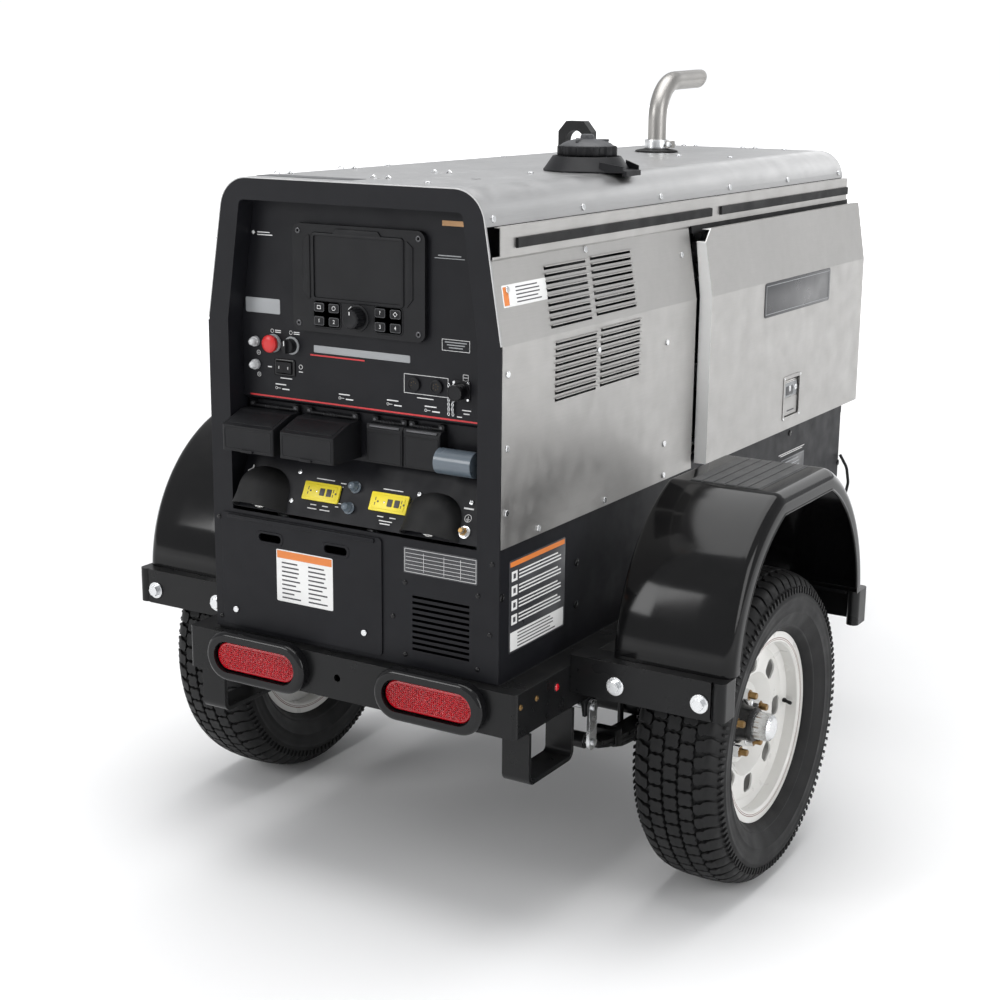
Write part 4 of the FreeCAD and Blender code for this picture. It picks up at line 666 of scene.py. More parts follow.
def bumper_details():
    """Brass plugs and a red marker lamp on each side of the frame."""
    build = Build("frame_side_plugs")
    for side in (-1, 1):
        for y in (-7, 47):
            place = on_side(side, 359.0, y, 459)
            build.lathe([(0, -4), (5.2, -4), (5.2, 1.2), (4.0, 2.0), (2.6, 2.0), (2.2, 0.4), (0, 0.4)],
                        "brass", place)
        place = on_side(side, 359.0, 114, 459)
        build.lathe([(0, -4), (8.6, -4), (8.6, 1.6), (7.4, 2.4), (6.6, 2.4)], "rubber", place)
        build.lathe([(6.7, 0.6), (6.5, 3.2), (5.0, 4.6), (2.6, 5.4), (0, 5.6)], "red_lens", place)
    build.done("chassis")


def weld_beads():
    """Rippled fillet welds where the frame tubes meet."""
    build = Build("weld_beads")
    low, high = 405.0, 482.0
    runs = []
    for side in (-1, 1):
        runs.append([(side * 309.5, 27.5, low), (side * 309.5, 27.5, high)])
        runs.append([(side * 38.5, 929.5, low), (side * 38.5, 929.5, high)])
        runs.append([(side * 38.5, 1808, low), (side * 38.5, 1808, high)])
        runs.append([(side * 34.5, 1918, low), (side * 34.5, 1918, high)])
        runs.append([(side * 358.5, 1231, low), (side * 358.5, 1231, high)])
        for y in (18, 172):
            runs.append([(side * 311, y, 402.5), (side * 357, y, 402.5)])
    for start, end in runs:
        start, end = Vector(start), Vector(end)
        steps = int((end - start).length / 1.6)
        path = [start.lerp(end, i / steps) for i in range(steps + 1)]
        build.pipe(path, lambda t: 2.7 + 0.35 * math.cos(t * 150), "frame_black", steps=8)
    build.done("chassis")


# ---- control face -------------------------------------------------------------------------------
PANEL_Y, STRIP_Y = 40.0, 56.0
SLOPE_FOOT = (717.0, 0.0)
SLOPE = math.atan2(56.0, 113.0)


def on_panel(x, z):
    return on_face(x, PANEL_Y, z)


def on_slope(x, z):
    """Frame on the sloped outlet panel, local Z out of the panel."""
    y = (z - SLOPE_FOOT[0]) * math.tan(SLOPE)
    return plane_at((x, y, z), (1, 0, 0), (0, math.sin(SLOPE), math.cos(SLOPE)))


def bar(build, place, x, y, width, height, look="white_ink", lift=0.25):
    build.block(width, height, 0.0, lift, look, place @ Matrix.Translation((x, y, 0)))


def outline_box(build, place, width, height, line, look="white_ink"):
    for s in (-1, 1):
        bar(build, place, 0, s * (height - line) / 2, width, line, look)
        bar(build, place, s * (width - line) / 2, 0, line, height - 2 * line, look)


def ring_mark(build, place, radius, line, look="white_ink"):
    build.lathe([(radius - line, 0), (radius - line, 0.25), (radius, 0.25), (radius, 0), (radius - line, 0)],
                look,
                place, steps=28)


def panel_print():
    """Printed rules, frames and plain pictograms; captions are bare bars."""
    build = Build("panel_print")
    panel = on_panel(0, 0)
    bar(build, panel, -3.5, 930, 491, 3.0, "red_ink", 0.35)
    bar(build, panel, -52, 1014.5, 118, 2.6, "red_ink", 0.35)
    build.block(206, 13, 0, 0.5, "grey_film", on_panel(0, 1026), bevel=0.15, radius=2.0)
    build.block(78, 27, 0, 0.6, "grey_film", on_panel(-216, 1094), bevel=0.2, radius=3.0)
    for x, z in ((-196, 1050), (-154, 1050)):
        ring_mark(build, on_panel(x, z), 3.6, 0.8)
        bar(build, panel, x + 13, z + 1.5, 13, 1.6)
        bar(build, panel, x + 13, z - 1.8, 13, 1.6)
    for z in (1008, 968):
        ring_mark(build, on_panel(-228, z), 4.2, 0.8)
        bar(build, panel, -228, z, 3.6, 1.2)
    ring_mark(build, on_panel(-133, 990), 4.2, 0.9)
    bar(build, panel, -133, 981, 9, 1.6)
    bar(build, panel, -203, 984, 9, 2.0)
    bar(build, panel, -166, 966, 26, 1.8)
    for x, z in ((-178.7, 948), (-37.4, 944), (66, 944.5), (145, 942)):
        bar(build, panel, x, z + 6, 24, 2.0)
        ring_mark(build, on_panel(x - 10, z - 1), 2.6, 0.8)
        bar(build, panel, x - 4, z - 1, 7, 1.0)
        bar(build, panel, x + 11, z - 2, 16, 2.2)
    frame_box = on_panel(196, 1058)
    outline_box(build, frame_box, 56, 20, 0.9)
    for i in range(3):
        bar(build, frame_box, 0, 5 - 4.6 * i, 44 - 8 * i, 2.0, "grey_ink")
    outline_box(build, on_panel(135.5, 984), 91, 34, 1.0)
    bar(build, panel, 134, 961, 34, 1.6)
    outline_box(build, on_panel(216, 1005), 11, 11, 0.9)
    bar(build, panel, 216, 1005, 8, 1.0)
    bar(build, panel, 183, 1208, 46, 2.0, "grey_ink")
    bar(build, panel, 183, 1203.5, 60, 1.4, "grey_ink")
    build.prism([(4, 0), (0, 4), (-4, 0), (0, -4)], 0, 0.25, "white_ink", on_panel(-234, 1224))
    bar(build, panel, -211, 1225, 28, 1.8)
    bar(build, panel, -208, 1220.5, 34, 1.8)
    bar(build, on_panel(190, 1262), 0, 0, 44, 9, "bronze_film", 0.2)
    for x, z, width in ((218, 949, 18), (218, 943, 12), (204, 936.5, 10)):
        bar(build, panel, x, z, width, 1.8)
    for x, z, w in ((-78, 791, 40), (69, 791, 42), (-91, 747.5, 13), (-65, 747.5, 13), (-92, 741, 20),
                    (-64, 741, 22),
                    (56, 746.5, 13), (82, 746.5, 13), (69, 740, 28), (69, 735.5, 22), (-38, 789, 12),
                    (-38, 756, 12),
                    (-40, 783, 7), (-40, 750, 7)):
        bar(build, on_slope(x, z), 0, 0, w, 1.8)
    build.done("chassis")


def display_details():
    """Raised surround, glass, visor, corner screws and key surrounds of the display module."""
    build = Build("display_bezel")
    face = on_face(0, PANEL_Y - 10, 0)
    outer = round_rect(196, 120, 7, 0, 1173.5)
    inner = round_rect(184, 108, 4, 0, 1173.5)
    build.rings([[(x, y, 0) for x, y in outer], [(x, y, 2.0) for x,
                                                 y in round_rect(194, 118, 6.5, 0, 1173.5)],
                 [(x, y, 2.6) for x, y in round_rect(191, 115, 6, 0, 1173.5)],
                 [(x, y, 2.6) for x, y in inner],
                 [(x, y, -1.5) for x, y in inner]], "moulded_black", face, closed=True)
    build.prism(inner, -2.2, -0.4, "glass", face, bevel=0.4)
    visor = [(-52, 1232), (52, 1232), (44, 1241), (-44, 1241)]
    build.prism(visor, 0, 2.4, "moulded_black", face, bevel=0.8)
    for s in (-1, 1):
        shoulder = [(s * 104, 1228), (s * 116, 1218), (s * 116, 1130), (s * 104, 1116), (s * 101, 1118),
                    (s * 101, 1226)]
        build.prism(shoulder, 0, 1.6, "moulded_black", face, bevel=0.6)
        for z in (1072, 1234):
            screw_place = face @ Matrix.Translation((s * 127, z, 0))
            build.lathe([(0, 0.2), (5.4, 0.2), (5.4, 0.9), (4.4, 1.5), (2.6, 1.5), (2.2, 0.2), (0, 0.2)],
                        "dark_screw",
                        screw_place, steps=24)
    for x in (-65, 65):
        ring = round_rect(62, 50, 8, x, 1091)
        build.rings([[(px, py, 0) for px, py in ring], [(px, py, 1.0) for px,
                                                        py in round_rect(60, 48, 7, x, 1091)],
                     [(px, py, 1.0) for px, py in round_rect(57, 45, 6, x, 1091)],
                     [(px, py, 0.0) for px, py in round_rect(56, 44, 6, x, 1091)]], "moulded_black", face)
    knob_ring = face @ Matrix.Translation((0, 1090, 0))
    build.lathe([(24, 0), (23.5, 1.8), (22, 2.4), (19.5, 2.4), (19.0, 0.2)], "moulded_black", knob_ring)
    build.rings([[(21.6 * math.cos(a), 21.6 * math.sin(a), 2.2),
                  (22.8 * math.cos(a), 22.8 * math.sin(a), 2.2),
                  (22.8 * math.cos(a), 22.8 * math.sin(a), 2.9),
                  (21.6 * math.cos(a), 21.6 * math.sin(a), 2.9)]
                 for a in (math.radians(120 + 7 * i) for i in range(15))], "white_ink", knob_ring)
    build.done("chassis")


def digit(build, text, size, place, look):
    """Small raised figure on a key."""
    curve = bpy.data.curves.new("figure", "FONT")
    curve.body = text
    curve.size = size
    curve.align_x = curve.align_y = "CENTER"
    curve.extrude = 0.12
    holder = bpy.data.objects.new("figure", curve)
    mesh = bpy.data.meshes.new_from_object(holder)
    part = bmesh.new()
    part.from_mesh(mesh)
    build.absorb(part, place, look)
    bpy.data.objects.remove(holder)
    bpy.data.curves.remove(curve)
    bpy.data.meshes.remove(mesh)


def key_caps():
    """Soft-edged caps with figures and plain pictograms."""
    build = Build("key_legends")
    face = on_face(0, PANEL_Y - 13, 0)
    figures = {(-81, 1079): "1", (-49, 1079): "2", (49, 1079): "3", (81, 1079): "4"}
    for (x, z), text in figures.items():
        digit(build, text, 9.5, face @ Matrix.Translation((x, z, 0.1)), "white_ink")
    outline_box(build, face @ Matrix.Translation((-81, 1103, 0)), 8, 6.5, 0.9)
    ring_mark(build, face @ Matrix.Translation((-49, 1103, 0)), 3.9, 0.9)
    digit(build, "?", 9.5, face @ Matrix.Translation((49, 1103, 0.1)), "white_ink")
    build.rings([[(81 + r * math.cos(a), 1103 + r * math.sin(a), h) for a in (0, math.pi / 2, math.pi,
        3 * math.pi / 2)]
                 for r, h in ((4.6, 0), (4.6, 0.25), (3.4, 0.25), (3.4, 0))], "white_ink", face)
    for x in (-81, -49, 49, 81):
        for z in (1103, 1079):
            build.block(19.6, 13.6, -0.6, 0.12, "moulded_black", face @ Matrix.Translation((x, z, 0)),
                        bevel=0.5,
                        radius=3.0)
    build.done("keypad")


def knob_details():
    """Pointer on the display knob and a dished end face."""
    build = Build("knob_pointer")
    face = on_face(0, PANEL_Y - 34, 1090)
    build.lathe([(15.2, -0.5), (14.6, 0.5), (12.5, 0.9), (11.6, 0.5), (0, 0.2)], "moulded_black", face)
    bar(build, face, 0, 10.5, 1.6, 6.0, "white_ink", 1.1)
    build.done("display_knob")


def switch_details():
    """Collars, caps and bezels of the hand switches on the left."""
    fixed = Build("switch_collars")
    stop, start = on_panel(-193, 1028), on_panel(-152, 1027)
    fixed.lathe([(13, 0), (16.5, 0), (16.5, 3.6), (15.4, 5.2), (13, 5.2), (12.6, 0)], "grey_film", stop)
    fixed.lathe([(13.4, 0), (16.2, 0), (16.2, 1.8), (15.2, 2.6), (13.6, 2.6)], "grey_film", start)
    fixed.rings([[(x, y, h) for x, y in round_rect(w, t, 2.5)] for w, t, h in
                 ((46, 30, 0), (46, 30, 2.2), (43.5, 27.5, 3.2), (37.5, 23.5, 3.2), (36.8, 22.8, 0))],
                 "gloss_plastic",
                on_panel(-168, 986))
    fixed.done("chassis")
    cap = Build("stop_cap")
    cap.lathe([(11, 2.0), (12.2, 6.5), (15.4, 9.2), (16.2, 12), (15.6, 15.2), (12.6, 17.6), (7, 18.6),
               (0, 18.9)],
              "red_plastic", stop)
    cap.done("stop_button")
    knob = Build("start_knob")
    knob.lathe([(12.9, 2.8), (13.0, 12), (12.2, 16.4), (10, 17.2), (0, 17.2)], "moulded_black", start,
               steps=60,
               flutes=20, depth=0.05)
    bar(knob, start, 0, 0, 5.6, 23, "moulded_black", 23.6)
    bar(knob, start, 0, 6.5, 1.6, 9, "white_ink", 24.1)
    knob.done("start_switch")
    rocker = Build("rocker_marks")
    for x, w in ((-178, 5), (-158, 5)):
        bar(rocker, on_face(0, 34.6, 986), x, 0, 1.2, w, "white_ink", 0.9)
    rocker.done("rocker_switch")
    lamps = Build("indicator_lamps")
    for z in (1028, 986):
        lamp = on_panel(-234, z)
        lamps.lathe([(9.4, 0), (9.4, 2.5), (8.2, 4.5), (8.0, 6)], "grey_film", lamp, steps=28)
        lamps.lathe([(7.6, 4), (7.4, 8), (6.8, 12.5), (5.0, 15.6), (2.6, 17.0), (0, 17.4)], "clear_cap", lamp,
                    steps=28)
    lamps.done("chassis")


def remote_sockets():
    """Remote-control sockets, the threaded connector and its capped chain."""
    build = Build("remote_connectors")
    for x in (112, 158):
        place = on_panel(x, 984)
        build.lathe([(12.2, 0), (12.2, 4.4), (10.8, 5.2), (9.4, 5.2), (9.0, 1.5), (0, 1.5)], "moulded_black",
                    place)
        for i in range(6 if x > 130 else 4):
            a = 2 * math.pi * i / 6 + 0.4
            pin = place @ Matrix.Translation((5 * math.cos(a), 5 * math.sin(a), 0))
            build.lathe([(0.9, 1.4), (0.9, 4.0), (0, 4.4)], "brass", pin, steps=10)
    place = on_panel(208, 982)
    build.block(36, 36, 0, 2.2, "moulded_black", place, bevel=0.6, radius=5)
    thread = [(14.4, 2)]
    for i in range(9):
        thread += [(14.4, 3.0 + 2.2 * i), (13.5, 4.1 + 2.2 * i)]
    build.lathe(thread + [(14.2, 24.3), (12.4, 24.8), (12.0, 15), (0, 15)], "gloss_plastic", place)
    for dx, dy in ((-14, -14), (14, -14), (-14, 14), (14, 14)):
        build.lathe([(2.6, 2.0), (2.4, 3.4), (0, 3.6)], "zinc", place @ Matrix.Translation((dx, dy, 0)),
                    steps=16)
    build.done("chassis")
    chain = Build("cap_chain")
    for offset, sway in ((0.0, 0.0), (9.0, 1.5)):
        for i in range(13):
            centre = Vector((184.5 + offset + sway * math.sin(i * 0.5), PANEL_Y - 4.0, 990.0 - 4.1 * i))
            tilt = math.pi / 2 if i % 2 else 0.0
            ring = []
            for k in range(14):
                a = 2 * math.pi * k / 14
                flat = Vector((1.9 * math.cos(a) * math.cos(tilt), 1.9 * math.cos(a) * math.sin(tilt),
                               3.2 * math.sin(a)))
                ring.append(centre + flat)
            chain.pipe(ring + [ring[0], ring[1]], 0.75, "zinc", steps=6)
    chain.done("chassis")


def outlet_panel():
    """Yellow receptacles with their buttons, screws, ground mark and a clip on the sloped panel."""
    build = Build("outlet_faces")
    for x in (-78, 69):
        place = on_slope(x, 769)
        build.block(79, 34, 3.4, 4.8, "yellow_plastic", place, bevel=0.5, radius=2.2)
        build.block(67, 25, 4.6, 5.6, "yellow_plastic", place, bevel=0.4, radius=1.5)
        for dx in (3, 18):
            build.block(10.5, 13.5, 5.4, 6.6, "dark_ink", place @ Matrix.Translation((dx, 0, 0)), bevel=0.6,
                        radius=1)
        for dx in (-26, 29):
            for dy in (-4.4, 4.4):
                build.block(1.6, 6.0 if dy > 0 else 5.0, 5.5, 5.75, "dark_ink",
                            place @ Matrix.Translation((dx - 2, dy, 0)))
            build.lathe([(1.9, 5.5), (1.9, 5.75), (0, 5.75)], "dark_ink",
                        place @ Matrix.Translation((dx + 3.5, 0, 0)),
                        steps=16)
        build.lathe([(1.4, 5.5), (1.2, 6.2), (0, 6.4)], "zinc", place @ Matrix.Translation((-9, 0, 0)),
                    steps=16)
    build.done("chassis")
    screws = Build("slope_screws")
    for x, z in ((125, 791), (-137, 797), (-140, 748), (232, 791), (-257, 742), (122, 742)):
        place = on_slope(x, z)
        screws.lathe([(4.6, 0), (4.6, 1.6), (3.6, 2.8), (0, 3.3)], "zinc", place, steps=24)
        bar(screws, place, 0, 0, 5.6, 0.9, "dark_ink", 3.4)
        bar(screws, place, 0, 0, 0.9, 5.6, "dark_ink", 3.4)
    ground = on_slope(232, 744)
    screws.hex(8.6, 1.0, 7.0, "brass", ground)
    screws.lathe([(4.8, 6.5), (4.8, 15), (4.0, 16), (0, 16)], "brass", ground, steps=24)
    screws.lathe([(11, 0), (11, 1.2), (6, 1.2)], "zinc", ground, steps=28)
    ring_mark(screws, on_slope(232, 766), 7.0, 1.0)
    bar(screws, on_slope(232, 766), 0, 1, 1.1, 5)
    for i, w in enumerate((8, 5.4, 2.8)):
        bar(screws, on_slope(232, 766), 0, -1.6 - 1.7 * i, w, 0.9)
    bar(screws, on_slope(229, 781), 0, 0, 20, 3)
    clip = on_slope(-248, 788)
    screws.block(12, 3.0, 0, 3.0, "white_film", clip @ Matrix.Rotation(0.5, 4, "Z"), bevel=0.6, radius=1.4)
    screws.block(3.0, 10, 0, 3.0, "white_film", clip @ Matrix.Translation((5, 5, 0)), bevel=0.6, radius=1.4)
    screws.done("chassis")


def breaker_boot(name, x, z):
    """Grey rubber boot over a breaker's push button."""
    build = Build(name + "_boot")
    place = on_slope(x, z)
    build.lathe([(11, 0.3), (11, 2.0), (9.8, 3.0), (8.6, 3.4), (8.2, 7.0), (8.8, 8.2), (7.4, 10.2), (7.0, 15),
                 (6.2, 17.2),
                 (3.6, 18.6), (0, 18.9)], "dust_cap", place, steps=32)
    build.done(name)


def cover_hinges():
    """Hinge barrels, springs and end lugs above the outlet covers."""
    build = Build("cover_hinges")
    for x0, x1, y, z in ((-260, -145, 50, 905), (-130, -13, 50, 905), (14.5, 91.5, 50, 905),
                         (92.5, 169.5, 50, 905)):
        rod = plane_at((x0 + 3, y, z + 3.0), (0, 1, 0), (0, 0, 1))
        length = x1 - x0 - 6
        build.lathe([(0, 0), (3.4, 0), (3.4, length), (0, length)], "moulded_black", rod, steps=20)
        coil = [(x0 + length * 0.5 + i * 0.35, y + 4.4 * math.cos(i * 0.7), z + 3.0 + 4.4 * math.sin(i * 0.7))
                for i in range(-46, 47)]
        build.pipe(coil, 0.6, "dark_screw", steps=5)
        for x in (x0 + 8, x1 - 8):
            build.block(13, 13, 0, 8.5, "moulded_black", on_face(x, STRIP_Y, z + 5), bevel=1.2, radius=2.5)
            build.lathe([(3.2, 8.4), (3.0, 9.8), (0, 10.2)], "dark_screw", on_face(x, STRIP_Y, z + 6),
                        steps=18)
    build.done("chassis")


def cover_details():
    """Raised borders on the deep covers and steel hinge leaves on the flat ones."""
    for number, (x0, x1) in enumerate(((-260, -145), (-130, -13), (14.5, 91.5), (92.5, 169.5)), 1):
        build = Build("cover_%d_trim" % number)
        middle, width = (x0 + x1) / 2, x1 - x0
        if number < 3:
            face = on_face(middle, -30, 860.5)
            build.rings([[(px, py, h) for px, py in round_rect(w, t, 4)] for w, t, h in
                         ((width - 8, 41, -0.3), (width - 9, 40, 0.7), (width - 13, 36, 0.7),
                          (width - 14, 35, -0.3))],
                        "moulded_black", face)
            top = plane_at((middle, -3, 894.0), (1, 0, 0), (0, 54, 20))
            build.block(width - 14, 40, -0.2, 0.8, "moulded_black", top, bevel=0.5, radius=3)
            build.block(26, 5, -0.5, 4.5, "moulded_black", on_face(middle, -30, 839.5), bevel=1.2, radius=2)
        else:
            face = on_face(middle, 31, 866)
            build.rings([[(px, py, h) for px, py in round_rect(w, t, 3)] for w, t, h in
                         ((width - 6, 56, -0.3), (width - 7, 55, 0.6), (width - 10, 52, 0.6),
                          (width - 11, 51, -0.3))],
                        "moulded_black", face)
            leaf = plane_at((middle, 33.4, 902.3), (1, 0, 0), (0, 5, 8))
            build.block(width - 14, 4.0, 0.2, 1.6, "dark_screw", leaf, bevel=0.4, radius=1)
        build.done("outlet_cover_%d" % number)


def stud_cover(name, x, replaced):
    """Rubber hood over a weld stud: a domed half shell, open below, with a lip along the panel."""
    build = Build(name)
    half, reach, wall = 50.0, 46.0, 3.0
    sweep = [math.pi * k / 28 for k in range(29)]
    levels = [(-27 + 3.5 * k, 1.0 + 0.09 * (1 - k / 10) ** 2) for k in range(10)]
    levels += [(8 + 45 * math.sin(math.pi / 2 * k / 14), math.cos(math.pi / 2 * k / 14)) for k in range(14)]
    rings = []
    for rise, size in levels:
        outer = [((half * size + 5 * (1 - math.sin(a)) ** 5) * math.cos(a), rise,
                  reach * size * math.sin(a)) for a in sweep]
        inner = [(max(half * size - wall, 0.4) * math.cos(a), rise,
                  max(reach * size - wall, 0.4) * math.sin(a))
                 for a in sweep]
        rings.append(outer + inner[::-1])
    build.rings(rings, "rubber", on_slope(x, 750))
    return build.done("chassis", replaced, smooth=50)


def weld_studs():
    """Threaded studs, washers and nuts under the rubber hoods."""
    build = Build("weld_studs")
    for x in (-205, 165):
        place = on_slope(x, 745)
        build.lathe([(17, 0), (17, 5), (15, 6.4), (13, 6.4)], "brass", place, steps=32)
        thread = []
        for i in range(12):
            thread += [(12.5, 7.0 + 2.0 * i), (11.6, 8.0 + 2.0 * i)]
        build.lathe([(12.5, 5)] + thread + [(11, 31), (0, 31.4)], "brass", place, steps=32)
        build.hex(20, 6, 17, "zinc", place)
    build.done("chassis")


# ---- fuel cap and filler ------------------------------------------------------------------------
FILLER = (165.0, 545.0)


def fuel_cap():
    """Castellated grip, lighter dome and a small knob."""
    build = Build("fuel_cap_grip")
    place = on_roof(FILLER[0], FILLER[1], 0)
    grip = [(50, 1353), (56.5, 1353.4), (57.6, 1355), (57.6, 1368), (56.4, 1370.4), (52, 1371)]
    build.lathe(grip, "moulded_black", place, steps=192, flutes=12, depth=0.085)
    build.lathe([(51.5, 1368), (50.5, 1371.5), (46, 1375), (37, 1379), (26, 1382), (13, 1383.8), (0, 1384)],
                "moulded_grey", place, steps=64)
    build.lathe([(13.4, 1382), (13.2, 1388), (11.8, 1391), (8.5, 1392.2), (0, 1392.4)], "moulded_grey", place)
    build.lathe([(37, 1329), (37, 1353), (20, 1353)], "moulded_black", place)
    for i in range(3):
        turn = place @ Matrix.Rotation(2 * math.pi * i / 3 + 0.5, 4, "Z")
        build.block(22, 5, 1378.5, 1383.2, "moulded_grey", turn @ Matrix.Translation((30, 0, 0)), bevel=0.8,
                    radius=2.2)
    return build.done("fuel_cap", ("fuel_cap",))


def fuel_filler():
    """Round spill tray with an open trough that drains over the roof's edge."""
    build = Build("filler_tray")
    x, y = FILLER
    place = on_roof(x, y, 0)
    build.lathe([(82, 1324.4), (82.5, 1327), (80, 1330), (66, 1350.5), (64.5, 1352), (62, 1352), (60, 1346),
                 (57, 1337),
                 (46, 1334), (44, 1329), (44, 1297), (38, 1297), (38, 1331), (44, 1336)], "moulded_black",
                 place, steps=72)
    for s in (-1, 1):
        wall = [(x + 56, y + s * 55), (x + 94, y + s * 33), (x + 94, y + s * 30), (x + 56, y + s * 51.5)]
        rings = [[(px, py, 1324.4) for px, py in wall],
                 [(px, py, 1344 - 8 * (px - x - 56) / 38) for px, py in wall]]
        build.rings(rings, "moulded_black")
    build.prism([(x + 56, y - 53), (x + 96, y - 32), (x + 96, y + 32), (x + 56, y + 53)], 1324.4, 1328.5,
                "moulded_black",
                bevel=0.8)
    build.prism([(x + 92, y - 31), (x + 100, y - 29), (x + 100, y + 29), (x + 92, y + 31)], 1318.5, 1328,
                "moulded_black",
                bevel=1.0)
    build.done("chassis", ("fuel_filler",))


# ---- exhaust ------------------------------------------------------------------------------------
def exhaust_details():
    """Slanted end of the tail pipe, band clamp, its bolt and the roof grommet."""
    build = Build("exhaust_fittings")
    x, y, tip_z = -50.0, 1274.0, 1486.7
    angles = [2 * math.pi * k / 48 for k in range(48)]

    def ring(radius, start, slant):
        return [(x + radius * math.cos(a), start + slant * (0.5 + 0.5 * math.sin(a)),
                 tip_z + radius * math.sin(a))
                for a in angles]

    shell = [ring(21.2, 1474, 0), ring(21.2, 1476, 20), ring(19.0, 1476, 20), ring(19.0, 1474, 0)]
    build.rings(shell + [shell[0]], "pipe_steel")
    band = on_roof(x, y, 0)
    build.lathe([(22, 1332), (27.5, 1332), (28, 1334), (28, 1350), (27.5, 1352), (22, 1352)], "zinc", band)
    build.lathe([(30, 1325), (48, 1325.2), (49, 1327), (44, 1329), (32, 1331), (30, 1331)], "rubber", band,
                steps=56)
    bolt = plane_at((x + 36, y - 8, 1342), (1, 0, 0), (0, 0, 1))
    build.hex(6.5, 0.5, 6, "zinc", bolt)
    build.lathe([(4, 0), (4, 11), (0, 12)], "zinc", plane_at((x + 36, y + 8, 1342), (-1, 0, 0), (0, 0, 1)),
                steps=16)
    build.done("chassis")


# ---- doors --------------------------------------------------------------------------------------
DOOR_X, DOOR_FRONT, DOOR_REAR, DOOR_LOW = 338.0, 757.0, 1617.0, 735.0


def door_details(side, door, latch):
    """Blank plate, seal and the latch's flange with its screws on one door, and the latch's paddle."""
    build = Build(door + "_fittings")
    face = on_side(side, DOOR_X, 0, 0)
    plate = face @ Matrix.Translation((side * 1211, 1037, 0))
    build.block(374, 74, 0, 1.2, "dark_film", plate, bevel=0.4, radius=8)
    outline_box(build, plate @ Matrix.Translation((0, 0, 1.2)), 362, 62, 1.4, "grey_ink")
    seal = [(side * 311.3, y, z) for y, z in ((DOOR_FRONT + 6, DOOR_LOW + 6), (DOOR_REAR - 6, DOOR_LOW + 6))]
    build.pipe(seal, 3.2, "rubber", steps=8)
    cup = face @ Matrix.Translation((side * 1200, 806.5, 0))
    outer, inner = round_rect(98, 99, 7), round_rect(84, 84, 5)
    rings = [[(px, py, h) for px, py in ring] for ring, h in ((outer, 0.1), (outer, 1.6), (inner, 1.6),
                                                              (inner, 0.1))]
    build.rings(rings + [rings[0]], "panel_steel", cup)
    for dx in (-45, 45):
        for dy in (-45, 45):
            build.lathe([(2.8, 1.5), (2.6, 2.4), (0, 2.8)], "zinc", cup @ Matrix.Translation((dx, dy, 0)),
                        steps=16)
    build.done(door)
    grip = Build(latch + "_paddle")
    place = on_side(side, DOOR_X - 3.2, 1200, 0)
    lower = place @ Matrix.Translation((0, 786, 0))
    grip.block(72, 40, 0, 1.8, "panel_steel", lower, bevel=0.7, radius=4)
    grip.block(40, 3, 1.7, 2.1, "dark_ink", lower @ Matrix.Translation((0, -10, 0)), radius=1.4)
    upper = place @ Matrix.Translation((0, 823, 0))
    grip.block(72, 32, -0.6, 0.4, "grey_film", upper, bevel=0.2, radius=4)
    grip.block(40, 20, 0.2, 0.9, "dark_film", upper @ Matrix.Translation((-6, -2, 0)), bevel=0.2, radius=3)
    grip.block(9, 13, 0.8, 2.2, "zinc", upper @ Matrix.Translation((-6, 2, 0)), bevel=0.6, radius=2)
    grip.lathe([(7, 0.2), (7, 2.4), (6, 3.2), (0, 3.2)], "zinc", upper @ Matrix.Translation((25, 2, 0)),
               steps=28)
    grip.block(7, 1.6, 3.1, 3.5, "dark_ink", upper @ Matrix.Translation((25, 2, 0)))
    grip.done(latch)


# ---- labels and plugs ---------------------------------------------------------------------------
def on_lean(side, y, z):
    """Frame on the leaning side of the enclosure."""
    lean = (267.5 - 310.0) / (1324.0 - 1070.0)
    return plane_at((side * (310.0 + lean * (z - 1070.0)), y, z), (0, side, 0), (side * lean, 0, 1))


def rows(build, place, width, height, count, look="dark_ink", margin=0.12, line=0.34):
    """Bare bars that stand for lines of print, of uneven length."""
    pitch = height / count
    for i in range(count):
        length = width * (1 - 2 * margin) * (0.62 + 0.38 * abs(math.sin(1.7 * i + 0.6)))
        bar(build, place, -width * (0.5 - margin) + length / 2, height / 2 - pitch * (i + 0.5), length,
            pitch * line, look,
            0.5)


